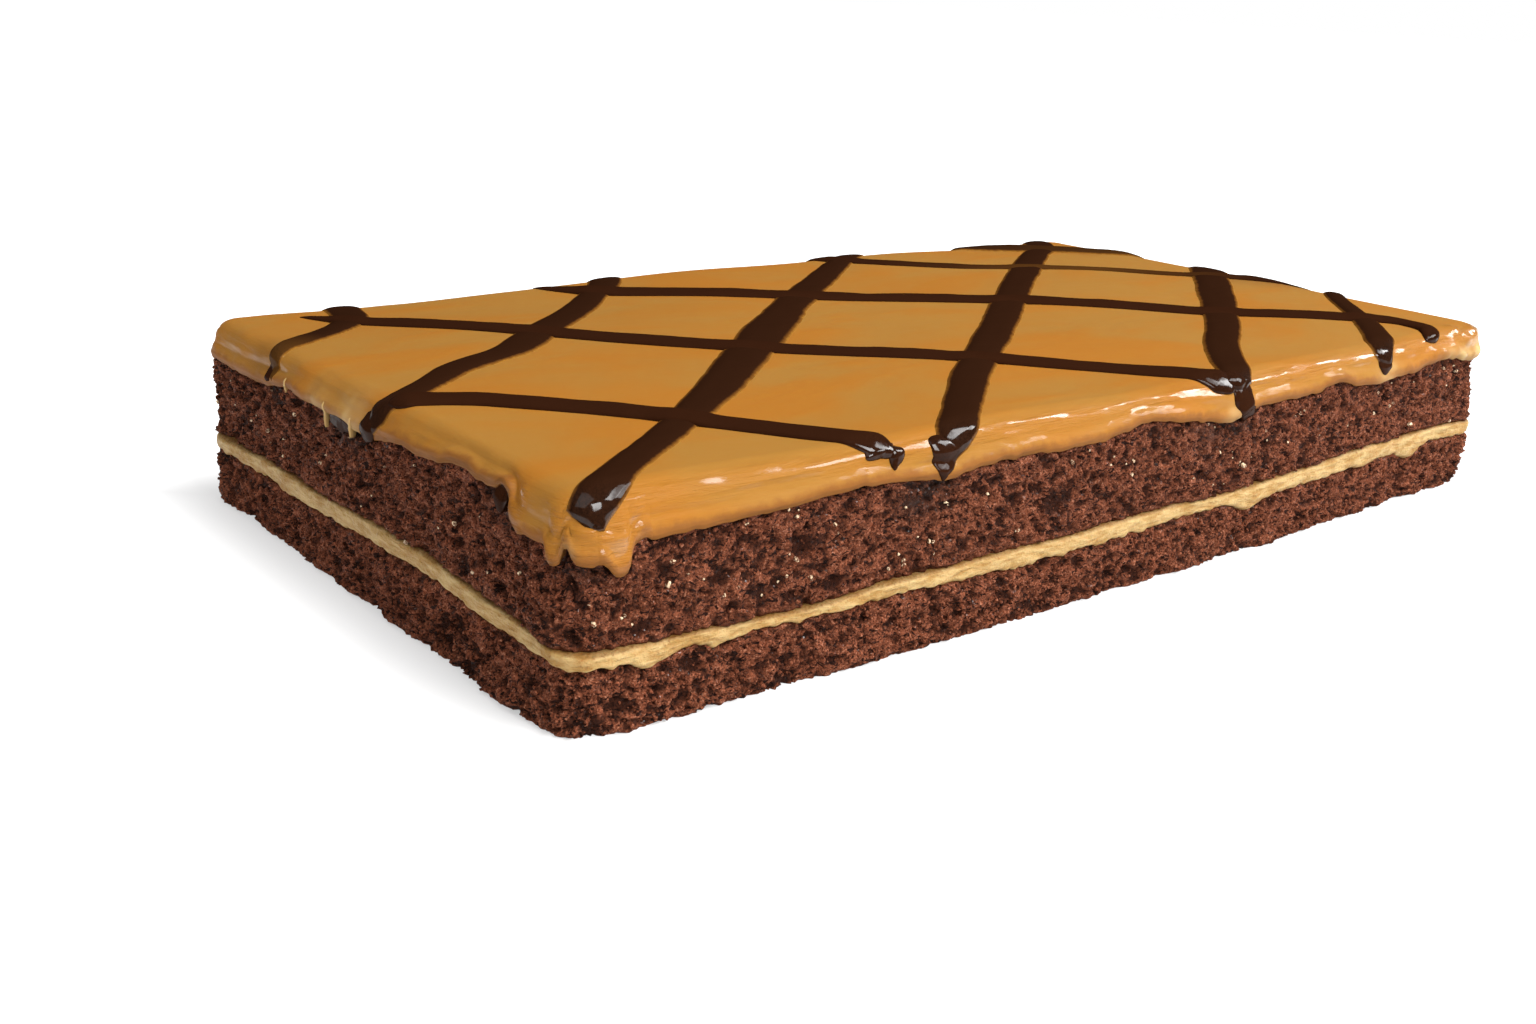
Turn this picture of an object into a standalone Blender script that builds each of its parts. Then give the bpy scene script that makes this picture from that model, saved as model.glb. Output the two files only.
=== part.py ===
"""Mocha cake: two layers of dark sponge, a cream filling, coffee icing and a chocolate lattice.

Metres, +Z up. The origin is the middle of the bottom. X runs along the cake and -Y is its front.
Each layer is a loft of rings around the plan, and the lattice is ribbons laid over the icing.
"""

import math

import bmesh
import bpy
import numpy as np
from mathutils.geometry import delaunay_2d_cdt

MM = 0.001

# Driving dimensions
LENGTH = 0.330
WIDTH = 0.1808
HEIGHT = 0.0513
CORNER_RADIUS = 0.0085
FRONT_BOW = 0.0041
BACK_BOW = 0.0003
END_BOW = 0.0005
GAP = 0.0003

# Heights of the layers
LOWER_SEAM = 0.0143
UPPER_SEAM = 0.0182
CEILING = 0.0458
HEM_HEIGHT = 0.0400
STRIPE_RISE = 0.0016
ICING_TOP = HEIGHT - STRIPE_RISE - 0.0003
SHOULDER_FOOT = 0.0420
SHOULDER_WIDTH = 0.007

# Distances in from the plan's outline
SPONGE_INSET = 0.0008
SKIN_INSET = 0.0019
CEILING_INSET = 0.005
CORE_INSET = 0.014
EDGE_ROUNDING = 0.0007
LEAST_RADIUS = 0.0015

# Points around the plan
LONG_STEPS = 36
SHORT_STEPS = 18
CORNER_STEPS = 4
TOP_CELL = 0.028
INSIDE_ONLY = 1
CDT_TOLERANCE = 1e-7

# Unevenness: amount and wavelength
HEM_WAVE = (0.00055, 0.050)
SEAM_WAVE = (0.00040, 0.045)
CRAG = (0.00055, 0.024)
CRUMB = (0.00035, 0.014)
CREAM_WAVE = (0.00045, 0.030)
TOP_WAVE = (0.00035, 0.070)
TOP_WAVE_START = 0.0475
FLARE_MIDDLE = 0.014
FLARE_REACH = 0.014

# Soft swellings: x, y, radius and amount, in millimetres
HEM_SWELLS = (
    (-155, -88, 6, -4.5),
    (-142, -90, 16, -1.6),
    (-96, -90, 15, 0.8),
    (-73, -90, 6, -1.2),
    (-4, -90, 11, 2.4),
    (27, -90, 8, -1.8),
    (77, -90, 9, 2.0),
    (100, -89, 9, -0.8),
    (134, -88, 9, 1.3),
    (153, -87, 6, -1.8),
    (165, -55, 14, -2.0),
    (165, 30, 15, 1.4),
    (66, 90, 12, -2.6),
    (-20, 90, 20, 1.2),
    (-96, 90, 12, -2.2),
    (-165, 70, 22, -0.8),
    (-165, 34, 10, 2.4),
    (-165, 14, 14, 1.6),
    (-165, -24, 12, 3.0),
    (-165, -50, 15, 5.8),
    (-165, -65, 5.5, 3.0),
    (-165, -80, 9, -1.5),
)
LOWER_SEAM_SWELLS = (
    (150, -90, 60, 1.6),
    (-165, -30, 45, 2.4),
    (-165, 60, 50, 0.7),
    (-146, -90, 5, -2.0),
    (-130, -90, 5, -1.6),
    (42, -90, 7, -2.4),
    (126, -88, 6, -3.6),
    (20, 90, 12, -2.0),
)
UPPER_SEAM_SWELLS = (
    (-130, -90, 50, -1.0),
    (130, -90, 70, 2.2),
    (-165, -32, 42, 3.6),
    (-165, 45, 50, 1.4),
    (165, 40, 60, 1.0),
)
CREAM_SWELLS = (
    (-160, -87, 9, 0.7),
    (42, -90, 8, 0.6),
    (126, -88, 8, 0.6),
)
LIP_SWELLS = (
    (-157, -88, 9, 0.5),
    (28, -90, 9, 0.4),
    (155, -86, 12, 0.4),
)
FLARE_SWELLS = (
    (160, -86, 15, 2.6),
    (-162, 84, 14, 1.0),
)
TOP_SWELLS = (
    (-120, 88, 42, -1.4),
    (-10, 88, 45, 0.6),
    (152, 78, 38, -1.4),
)

# Lattice: half the stripe's width and its middle line over the unrolled icing, in millimetres
STRIPES = (
    (3.6, ((-170, 42), (-163, 46), (-155, 51), (-146, 57), (-138, 64), (-132, 73), (-129, 84), (-128, 94))),
    (4.5, ((-155, 93), (-148, 84), (-136, 71), (-119, 55), (-69, 2), (-34, -29), (6, -64), (26, -87), (30, -95))),
    (5.2, ((33, -97), (31, -91), (36, -82), (46, -74), (84, -46), (113, -24), (150, 7), (159, 14), (168, 22))),
    (4.8, ((-171, -9), (-160, -11), (-151, -5), (-136, 7), (-115, 18), (-98, 33), (-61, 66), (-46, 82), (-40, 94))),
    (4.7, ((-78, 94), (-58, 74), (-29, 53), (12, 29), (63, -4), (90, -27), (124, -60), (137, -78), (133, -90))),
    (4.5, ((-171, -8), (-162, -12), (-146, -20), (-137, -28), (-120, -46), (-106, -65), (-90, -86), (-84, -94))),
    (5.2, ((-161, -94), (-154, -87), (-140, -75), (-101, -43), (-47, 4), (-16, 30), (28, 65), (66, 94))),
    (4.8, ((-73, -96), (-71, -91), (-63, -83), (-28, -53), (1, -31), (39, -2), (67, 20), (125, 64), (146, 80), (156, 93))),
    (3.5, ((36, 94), (44, 83), (75, 57), (95, 48), (124, 31), (139, 15), (152, 1), (161, -14), (170, -34))),
    (4.5, ((112, 94), (121, 85), (131, 72), (145, 59), (157, 47), (169, 36))),
    (3.6, ((169, -31), (157, -39), (142, -53), (129, -66), (112, -81), (103, -89), (101, -96))),
)
STRIPE_STEP_ON_TOP = 0.018
STRIPE_STEP_ON_SIDE = 0.0045
# Across a stripe: place in half widths, and height as a share of the rise
STRIPE_SECTION = ((-1.0, -0.35), (-0.62, 0.72), (0.0, 1.0), (0.62, 0.72), (1.0, -0.35), (0.0, -0.65))
STRIPE_END_WIDTHS = (0.55, 0.85)


def ripple(x, y, z, wavelength, seed):
    """Six sine waves of about this length in seeded directions, added up: about -1 to 1."""
    draws = np.random.default_rng(seed)
    total = 0.0
    for _ in range(6):
        direction = draws.normal(size=3)
        direction /= np.linalg.norm(direction)
        length = wavelength * draws.uniform(0.7, 1.4)
        phase = draws.uniform(0.0, 2 * math.pi)
        along = x * direction[0] + y * direction[1] + z * direction[2]
        total = total + np.sin(2 * math.pi * along / length + phase)
    return total / 3.0


def swell(x, y, swells):
    """Soft round swellings added up, in metres."""
    total = np.zeros_like(x)
    for middle_x, middle_y, radius, amount in swells:
        squared = (x - middle_x * MM) ** 2 + (y - middle_y * MM) ** 2
        total += amount * MM * np.exp(-squared / (radius * MM) ** 2)
    return total


def flare(height):
    """How far the crumb bulges out at a height: most a little below the cream, in soft spots."""
    share = np.exp(-(((height - FLARE_MIDDLE) / FLARE_REACH) ** 2))
    return share * swell(EDGE_X, EDGE_Y, FLARE_SWELLS)


def bowed(points):
    """The straight plan bent: the long sides fall back at their ends, and the ends a little."""
    x, y, z = points.T
    bow = np.where(y < 0, FRONT_BOW, BACK_BOW)
    fall_y = 1 - bow / (WIDTH / 2) * (x / (LENGTH / 2)) ** 2
    fall_x = 1 - END_BOW / (LENGTH / 2) * (y / (WIDTH / 2)) ** 2
    return np.column_stack((x * fall_x, y * fall_y, z))


def plan(inset):
    """Points around the rounded rectangle moved in by inset, and their outward normals."""
    radius = max(CORNER_RADIUS - inset, LEAST_RADIUS)
    halves = (LENGTH / 2 - inset, WIDTH / 2 - inset)
    points = []
    normals = []
    for quarter in range(4):
        start = math.pi / 2 * (quarter - 1)
        out = np.array((math.cos(start), math.sin(start)))
        along = np.array((-out[1], out[0]))
        half_along, half_out = halves if quarter % 2 == 0 else halves[::-1]
        steps = LONG_STEPS if quarter % 2 == 0 else SHORT_STEPS
        reach = half_along - radius
        for place in np.linspace(-reach, reach, steps, endpoint=False):
            points.append(out * half_out + along * place)
            normals.append(out)
        middle = out * (half_out - radius) + along * reach
        for angle in np.linspace(start, start + math.pi / 2, CORNER_STEPS, endpoint=False):
            normal = np.array((math.cos(angle), math.sin(angle)))
            points.append(middle + normal * radius)
            normals.append(normal)
    return np.array(points), np.array(normals)


def ring(inset, height, push=0.0):
    """One ring of the loft at this inset, pushed outwards along its normals."""
    points, normals = plan(inset)
    moved = points + normals * np.reshape(push * np.ones(len(points)), (-1, 1))
    return bowed(np.column_stack((moved, height * np.ones(len(points)))))


def shoulder_inset(height):
    """How far in the icing's outer face is at a height: none below the shoulder's foot."""
    rise = np.clip((height - SHOULDER_FOOT) / (ICING_TOP - SHOULDER_FOOT), 0.0, 1.0)
    return SHOULDER_WIDTH * (1 - np.sqrt(1 - rise**2))


def top_wave(points):
    """The same points with the top's gentle unevenness, which fades out down the shoulder."""
    x, y, z = points.T
    fade = np.clip((z - TOP_WAVE_START) / (ICING_TOP - TOP_WAVE_START), 0.0, 1.0)
    wave = TOP_WAVE[0] * ripple(x, y, 0 * z, TOP_WAVE[1], 41) + swell(x, y, TOP_SWELLS)
    return np.column_stack((x, y, z + fade * wave))


EDGE_X, EDGE_Y = plan(0.0)[0].T
HEM = (
    HEM_HEIGHT
    + HEM_WAVE[0] * ripple(EDGE_X, EDGE_Y, 0 * EDGE_X, HEM_WAVE[1], 11)
    + swell(EDGE_X, EDGE_Y, HEM_SWELLS)
)
LOWER_EDGE = (
    LOWER_SEAM
    + SEAM_WAVE[0] * ripple(EDGE_X, EDGE_Y, 0 * EDGE_X, SEAM_WAVE[1], 21)
    + swell(EDGE_X, EDGE_Y, LOWER_SEAM_SWELLS)
)
UPPER_EDGE = (
    UPPER_SEAM
    + SEAM_WAVE[0] * ripple(EDGE_X, EDGE_Y, 0 * EDGE_X, SEAM_WAVE[1], 22)
    + swell(EDGE_X, EDGE_Y, UPPER_SEAM_SWELLS)
)


def material(name, colour, roughness):
    made = bpy.data.materials.new(name)
    made.use_nodes = True
    shader = made.node_tree.nodes["Principled BSDF"]
    shader.inputs["Base Color"].default_value = (*colour, 1.0)
    shader.inputs["Roughness"].default_value = roughness
    shader.inputs["Metallic"].default_value = 0.0
    made.diffuse_color = (*colour, 1.0)
    return made


def new_object(name, bm, collection, finish):
    """An object from the mesh, cut across the short diagonals so that facing layers match."""
    bmesh.ops.triangulate(bm, faces=bm.faces, quad_method="SHORT_EDGE")
    bmesh.ops.recalc_face_normals(bm, faces=bm.faces)
    mesh = bpy.data.meshes.new(name)
    bm.to_mesh(mesh)
    bm.free()
    mesh.materials.append(finish)
    mesh.shade_smooth()
    obj = bpy.data.objects.new(name, mesh)
    collection.objects.link(obj)
    return obj


def loft(rings, capped=(0, -1)):
    """A shell through the rings, point to point, with a flat cap on the ends named."""
    bm = bmesh.new()
    loops = [[bm.verts.new(point) for point in points] for points in rings]
    for below, above in zip(loops, loops[1:]):
        for i in range(len(below)):
            bm.faces.new((below[i - 1], below[i], above[i], above[i - 1]))
    for end in capped:
        bm.faces.new(loops[end])
    return bm


def sponge_face(height, seed):
    """A ring of a sponge's side, with its crags, following the shoulder where it is that high."""
    height = height * np.ones(len(EDGE_X))
    crags = CRAG[0] * ripple(EDGE_X, EDGE_Y, height, CRAG[1], seed)
    crumbs = CRUMB[0] * ripple(EDGE_X, EDGE_Y, height, CRUMB[1], seed + 1)
    return ring(SPONGE_INSET, height, crags + crumbs + flare(height) - shoulder_inset(height))


def make_lower_sponge(collection):
    top = LOWER_EDGE - GAP / 2
    rings = [
        ring(SPONGE_INSET + EDGE_ROUNDING, 0.0, flare(0.0)),
        sponge_face(1.2 * MM, 31),
        sponge_face(7.0 * MM, 31),
        sponge_face(top - 1.3 * MM, 31),
        ring(SPONGE_INSET + EDGE_ROUNDING, top, flare(top)),
        ring(CORE_INSET, LOWER_SEAM - GAP / 2),
    ]
    new_object("lower_sponge", loft(rings), collection, material("dark_sponge", (0.125, 0.042, 0.022), 0.9))


def make_filling(collection):
    low = LOWER_EDGE + GAP / 2
    high = UPPER_EDGE - GAP / 2
    bulge = CREAM_WAVE[0] * ripple(EDGE_X, EDGE_Y, 0 * EDGE_X, CREAM_WAVE[1], 23)
    bulge = bulge + swell(EDGE_X, EDGE_Y, CREAM_SWELLS) + flare(low)
    rings = [
        ring(CORE_INSET, LOWER_SEAM + GAP / 2),
        ring(SPONGE_INSET + EDGE_ROUNDING, low, flare(low)),
        ring(SPONGE_INSET, low + 0.25 * (high - low), bulge),
        ring(SPONGE_INSET, low + 0.75 * (high - low), bulge),
        ring(SPONGE_INSET + EDGE_ROUNDING, high, flare(high)),
        ring(CORE_INSET, UPPER_SEAM - GAP / 2),
    ]
    new_object("filling", loft(rings), collection, material("coffee_cream", (0.69, 0.46, 0.19), 0.6))


def make_upper_sponge(collection):
    foot = UPPER_EDGE + GAP / 2
    first = foot + 1.3 * MM
    last = HEM - 1.4 * MM
    rings = [
        ring(CORE_INSET, UPPER_SEAM + GAP / 2),
        ring(SPONGE_INSET + EDGE_ROUNDING, foot, flare(foot)),
        sponge_face(first, 33),
        sponge_face(first + 0.5 * (last - first), 33),
        sponge_face(last, 33),
        ring(0.0, HEM - 0.5 * MM, -SKIN_INSET - 2 * GAP - shoulder_inset(HEM)),
        ring(CEILING_INSET + GAP, ceiling_edge() - GAP),
        ring(CORE_INSET, CEILING - GAP),
    ]
    new_object("upper_sponge", loft(rings), collection, material("soaked_sponge", (0.118, 0.040, 0.021), 0.9))


def ceiling_edge():
    """The height of the icing's underside near its rim, which rises where the hem does."""
    return np.maximum(CEILING, HEM + 0.5 * MM)


def cover_top(bm):
    """Closes the open rim on top with triangles between it and a grid of points inside it."""
    rim = [vert for vert in bm.verts if vert.is_boundary]
    number = {vert: index for index, vert in enumerate(rim)}
    rim_edges = [tuple(number[vert] for vert in edge.verts) for edge in bm.edges if edge.is_boundary]
    reach = np.array((LENGTH, WIDTH)) / 2 - 2 * SHOULDER_WIDTH - TOP_CELL / 2
    counts = np.ceil(2 * reach / TOP_CELL).astype(int) + 1
    grid = [
        bm.verts.new((x, y, ICING_TOP))
        for x in np.linspace(-reach[0], reach[0], counts[0])
        for y in np.linspace(-reach[1], reach[1], counts[1])
    ]
    corners = rim + grid
    flat = [vert.co.xy for vert in corners]
    result = delaunay_2d_cdt(flat, rim_edges, [], INSIDE_ONLY, CDT_TOLERANCE)
    for triangle in result[2]:
        bm.faces.new([corners[result[3][index][0]] for index in triangle])


def make_icing_body(collection, finish):
    lip = swell(EDGE_X, EDGE_Y, LIP_SWELLS)
    rings = [
        ring(CORE_INSET, CEILING),
        ring(CEILING_INSET, ceiling_edge()),
        ring(0.0, HEM + 0.2 * MM, -SKIN_INSET - shoulder_inset(HEM)),
    ]
    for share, rounding in ((0.0, -0.4), (0.15, 0.25), (0.45, 0.0), (0.74, 0.0), (0.92, 0.0)):
        height = HEM + share * (ICING_TOP - HEM)
        rings.append(ring(0.0, height, rounding * MM + (1 - share) * lip - shoulder_inset(height)))
    rings.append(ring(SHOULDER_WIDTH, ICING_TOP))
    rings.append(ring(2 * SHOULDER_WIDTH, ICING_TOP))
    bm = loft(rings, capped=(0,))
    cover_top(bm)
    for vert in bm.verts:
        vert.co = top_wave(np.array(vert.co)[None])[0]
    return new_object("icing", bm, collection, finish)


def shoulder_profile():
    """Distance run, distance out and height down the icing's section from the top's edge."""
    angles = np.linspace(0.0, math.pi / 2, 40)
    out = SHOULDER_WIDTH * np.sin(angles)
    height = SHOULDER_FOOT + (ICING_TOP - SHOULDER_FOOT) * np.cos(angles)
    run = np.concatenate(((0.0,), np.cumsum(np.hypot(np.diff(out), np.diff(height)))))
    return run, out, height


def wrapped(flat):
    """Unrolled plan points laid on the icing: place and outward normal of each.

    On the top they stay put. Past the top's edge, the distance from it is run down the shoulder
    and then straight down the side.
    """
    run, out, height = shoulder_profile()
    radius = CORNER_RADIUS - SHOULDER_WIDTH
    reach = np.array((LENGTH / 2, WIDTH / 2)) - SHOULDER_WIDTH - radius
    beyond = np.abs(flat) - reach
    outside = np.maximum(beyond, 0.0)
    length = np.linalg.norm(outside, axis=1)
    normal = np.sign(flat) * outside / np.maximum(length, 1e-9)[:, None]
    distance = np.maximum(length - radius, 0.0)
    past = np.maximum(distance - run[-1], 0.0)
    moved = np.interp(distance, run, out) - distance
    level = np.interp(distance, run, height) - past
    slope_out = np.interp(distance, run, np.gradient(out, run))
    slope_down = np.interp(distance, run, -np.gradient(height, run))
    steep = np.where(past > 0, 1.0, slope_down) * (distance > 0)
    flatness = np.where(distance > 0, np.where(past > 0, 0.0, slope_out), 1.0)
    places = np.column_stack((flat + normal * moved[:, None], level))
    return top_wave(places), np.column_stack((normal * steep[:, None], flatness))


def smooth_line(points):
    """A curve through the points whose slope at each comes from its two neighbours."""
    line = np.array(points, dtype=float) * MM
    lengths = np.linalg.norm(np.diff(line, axis=0), axis=1)
    run = np.concatenate(((0.0,), np.cumsum(lengths)))
    slopes = np.gradient(line, run, axis=0)
    t = np.linspace(0.0, 1.0, 24, endpoint=False)[:, None]
    stretches = []
    for i, length in enumerate(lengths):
        start = line[i] * (2 * t**3 - 3 * t**2 + 1) + slopes[i] * length * (t**3 - 2 * t**2 + t)
        end = line[i + 1] * (3 * t**2 - 2 * t**3) + slopes[i + 1] * length * (t**3 - t**2)
        stretches.append(start + end)
    return np.vstack((*stretches, line[-1:]))


def spaced(line):
    """Points along the line, close together on the shoulder and far apart on the flat top."""
    steps = np.linalg.norm(np.diff(line, axis=0), axis=1)
    middles = (line[:-1] + line[1:]) / 2
    top = np.array((LENGTH / 2, WIDTH / 2)) - 1.5 * SHOULDER_WIDTH
    on_top = np.all(np.abs(middles) < top, axis=1)
    cost = np.cumsum(steps / np.where(on_top, STRIPE_STEP_ON_TOP, STRIPE_STEP_ON_SIDE))
    cost = np.concatenate(((0.0,), cost))
    wanted = np.linspace(0.0, cost[-1], math.ceil(cost[-1]) + 1)
    return np.column_stack([np.interp(wanted, cost, line[:, axis]) for axis in range(2)])


def make_stripe(index, half_width, points, collection, finish):
    """A ribbon of drizzle with a rounded top, sunk a little into the icing."""
    middle = spaced(smooth_line(points))
    direction = np.gradient(middle, axis=0)
    direction /= np.linalg.norm(direction, axis=1)[:, None]
    across = np.column_stack((-direction[:, 1], direction[:, 0]))
    widths = np.full(len(middle), half_width * MM)
    widths[[0, -1]] *= STRIPE_END_WIDTHS[0]
    widths[[1, -2]] *= STRIPE_END_WIDTHS[1]
    columns = []
    for place, lift in STRIPE_SECTION:
        base, normal = wrapped(middle + across * (widths * place)[:, None])
        columns.append(bowed(base + normal * lift * STRIPE_RISE))
    bm = loft(np.stack(columns, axis=1))
    return new_object(f"stripe_{index:02d}", bm, collection, finish)


def keep_largest_shell(mesh):
    """Hollows sealed under a stripe are filled: only the outer shell stays."""
    bm = bmesh.new()
    bm.from_mesh(mesh)
    left = set(bm.verts)
    shells = []
    while left:
        shell = set()
        waiting = [left.pop()]
        while waiting:
            vert = waiting.pop()
            shell.add(vert)
            near = {edge.other_vert(vert) for edge in vert.link_edges} & left
            left -= near
            waiting.extend(near)
        shells.append(shell)
    shells.sort(key=len)
    inner = [vert for shell in shells[:-1] for vert in shell]
    bmesh.ops.delete(bm, geom=inner, context="VERTS")
    bm.to_mesh(mesh)
    bm.free()


def make_icing(collection, helpers):
    """The icing's skin with the chocolate lattice fused to it."""
    finish = material("coffee_icing", (0.47, 0.21, 0.045), 0.35)
    body = make_icing_body(collection, finish)
    for index, (half_width, points) in enumerate(STRIPES):
        stripe = make_stripe(index, half_width, points, helpers, finish)
        stripe.hide_render = True
        stripe.display_type = "WIRE"
    union = body.modifiers.new("lattice", "BOOLEAN")
    union.operation = "UNION"
    union.operand_type = "COLLECTION"
    union.collection = helpers
    union.solver = "EXACT"
    graph = bpy.context.evaluated_depsgraph_get()
    joined = bpy.data.meshes.new_from_object(body.evaluated_get(graph))
    body.modifiers.clear()
    body.data = joined
    keep_largest_shell(joined)
    for stripe in list(helpers.objects):
        bpy.data.objects.remove(stripe)


def main():
    for obj in list(bpy.data.objects):
        bpy.data.objects.remove(obj)
    cake = bpy.data.collections.new("mocha_cake")
    helpers = bpy.data.collections.new("lattice_stripes")
    bpy.context.scene.collection.children.link(cake)
    bpy.context.scene.collection.children.link(helpers)
    make_lower_sponge(cake)
    make_filling(cake)
    make_upper_sponge(cake)
    make_icing(cake, helpers)


main()
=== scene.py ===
"""Looks of the mocha cake: crumbly sponge, cream, glossy coffee icing and a chocolate lattice.

Metres, +Z up. X runs along the cake and -Y is its front. The outlines, seams and stripes repeat the
named values of the cake's solids, and the finer relief here is worked out around them.
"""

import math
from itertools import product

import bmesh
import bpy
import numpy as np
from mathutils import Matrix


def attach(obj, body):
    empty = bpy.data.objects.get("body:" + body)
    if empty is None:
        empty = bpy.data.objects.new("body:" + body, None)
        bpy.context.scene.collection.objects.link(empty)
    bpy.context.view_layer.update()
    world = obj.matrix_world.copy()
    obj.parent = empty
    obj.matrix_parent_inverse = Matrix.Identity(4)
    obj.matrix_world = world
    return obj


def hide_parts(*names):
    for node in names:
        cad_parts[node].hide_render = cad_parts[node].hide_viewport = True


bl_info = {
    "name": "Mocha Cake",
    "version": (1, 0, 0),
    "blender": (4, 5, 0),
    "location": "View3D > Sidebar > Mocha Cake",
    "description": "Builds the crumb, cream, icing and chocolate lattice of a mocha cake",
    "category": "Add Mesh",
}

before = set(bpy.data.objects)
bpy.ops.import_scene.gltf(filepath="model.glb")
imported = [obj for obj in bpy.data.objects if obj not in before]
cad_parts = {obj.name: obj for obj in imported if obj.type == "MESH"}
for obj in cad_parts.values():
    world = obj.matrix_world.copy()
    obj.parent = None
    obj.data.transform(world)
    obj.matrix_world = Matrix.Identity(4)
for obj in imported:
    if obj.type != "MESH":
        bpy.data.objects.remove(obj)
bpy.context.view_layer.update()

MM = 0.001

# Driving dimensions, as in the solids
LENGTH = 0.330
WIDTH = 0.1808
HEIGHT = 0.0513
CORNER_RADIUS = 0.0085
FRONT_BOW = 0.0041
BACK_BOW = 0.0003
END_BOW = 0.0005
LOWER_SEAM = 0.0143
UPPER_SEAM = 0.0182
CEILING = 0.0458
HEM_HEIGHT = 0.0400
STRIPE_RISE = 0.0016
ICING_TOP = HEIGHT - STRIPE_RISE - 0.0003
SHOULDER_FOOT = 0.0420
SHOULDER_WIDTH = 0.007
SPONGE_INSET = 0.0008
SKIN_INSET = 0.0019
CEILING_INSET = 0.005
CORE_INSET = 0.014
EDGE_ROUNDING = 0.0007
LEAST_RADIUS = 0.0015
# How far from a seam the crumb rounds off, and how far up behind the hem it goes on
ROUNDING_REACH = 0.0012
HEM_LAP = 0.0018
# Where the crumb dives under the icing, as heights from the hem, and how deep it lies there
HEM_COVER = (-0.0006, 0.0008)
COVERED_INSET = 0.0010
# How far above the hem the icing's hidden inner ring and its underside lie
INNER_RISE = 0.0010
UNDERSIDE_RISE = 0.0012

# Unevenness: amount and wavelength, as in the solids
HEM_WAVE = (0.00055, 0.050)
SEAM_WAVE = (0.00040, 0.045)
CRAG = (0.00055, 0.024)
CRUMB = (0.00035, 0.014)
CREAM_WAVE = (0.00045, 0.030)
TOP_WAVE = (0.00035, 0.070)
TOP_WAVE_START = 0.0475
FLARE_MIDDLE = 0.014
FLARE_REACH = 0.014

# Soft swellings: x, y, radius and amount, in millimetres, as in the solids
HEM_SWELLS = (
    (-155, -88, 6, -4.5),
    (-142, -90, 16, -1.6),
    (-96, -90, 15, 0.8),
    (-73, -90, 6, -1.2),
    (-4, -90, 11, 2.4),
    (27, -90, 8, -1.8),
    (77, -90, 9, 2.0),
    (100, -89, 9, -0.8),
    (134, -88, 9, 1.3),
    (153, -87, 6, -1.8),
    (165, -55, 14, -2.0),
    (165, 30, 15, 1.4),
    (66, 90, 12, -2.6),
    (-20, 90, 20, 1.2),
    (-96, 90, 12, -2.2),
    (-165, 70, 22, -0.8),
    (-165, 34, 10, 2.4),
    (-165, 14, 14, 1.6),
    (-165, -24, 12, 3.0),
    (-165, -50, 15, 5.8),
    (-165, -65, 5.5, 3.0),
    (-165, -80, 9, -1.5),
)
LOWER_SEAM_SWELLS = (
    (150, -90, 60, 1.6),
    (-165, -30, 45, 2.4),
    (-165, 60, 50, 0.7),
    (-146, -90, 5, -2.0),
    (-130, -90, 5, -1.6),
    (42, -90, 7, -2.4),
    (126, -88, 6, -3.6),
    (20, 90, 12, -2.0),
)
UPPER_SEAM_SWELLS = (
    (-130, -90, 50, -1.0),
    (130, -90, 70, 2.2),
    (-165, -32, 42, 3.6),
    (-165, 45, 50, 1.4),
    (165, 40, 60, 1.0),
)
CREAM_SWELLS = (
    (-160, -87, 9, 0.7),
    (42, -90, 8, 0.6),
    (126, -88, 8, 0.6),
)
LIP_SWELLS = (
    (-157, -88, 9, 0.5),
    (28, -90, 9, 0.4),
    (155, -86, 12, 0.4),
)
FLARE_SWELLS = (
    (160, -86, 15, 2.6),
    (-162, 84, 14, 1.0),
)
TOP_SWELLS = (
    (-120, 88, 42, -1.4),
    (-10, 88, 45, 0.6),
    (152, 78, 38, -1.4),
)

# Lobes of icing that hang from the hem: x, y, radius, how far they hang, how far they bulge and the
# height that their bulge starts at, in millimetres. A hang below zero cuts a notch in the hem.
LOBES = (
    (-160.6, -89.2, 2.8, 1.6, 1.4, 43.6),
    (-155.0, -90.4, 3.0, 2.2, 1.7, 42.4),
    (-157.8, -90.4, 1.3, -1.0, 0.0, 40.0),
    (-149.6, -90.4, 2.4, -1.6, -0.2, 40.0),
    (-164.2, -85.4, 1.7, 3.2, 0.6, 41.5),
    (-162.9, -87.4, 1.0, -1.4, -0.3, 42.0),
    (-165.0, -67.0, 2.6, -1.6, 0.0, 46.0),
    (-165.0, -72.5, 2.6, 1.2, 0.5, 44.0),
)
# Soft lumps on the icing's side: x, y, height, radius and amount, in millimetres
LUMPS = (
    (147, -87, 48.6, 2.8, 1.0),
    (151.0, -89.5, 45.6, 2.4, 1.2),
    (156, -88.5, 47.4, 2.6, 1.1),
    (161, -86, 46.0, 2.4, 1.0),
    (159, -87, 43.2, 2.2, 0.9),
    (154, -89.6, 42.6, 2.0, 0.9),
    (148, -90, 42.2, 2.2, 0.8),
    (143, -90, 44.0, 2.6, 0.7),
    (137, -90, 42.8, 2.4, 0.6),
    (131, -90, 44.6, 3.0, 0.6),
    (114, -90, 44.6, 4.0, 0.6),
    (30, -90, 39.8, 4.0, 0.6),
    (-165, -64, 45.5, 3.0, 0.6),
    (-165, -77, 42.0, 3.0, 0.6),
    (-165, -70, 46.5, 2.6, -0.5),
    (-165, -22, 46.5, 5.0, 0.4),
    (-165, 28, 46.0, 5.0, 0.5),
    (-165, 18, 44.5, 3.0, 0.4),
)

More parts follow.
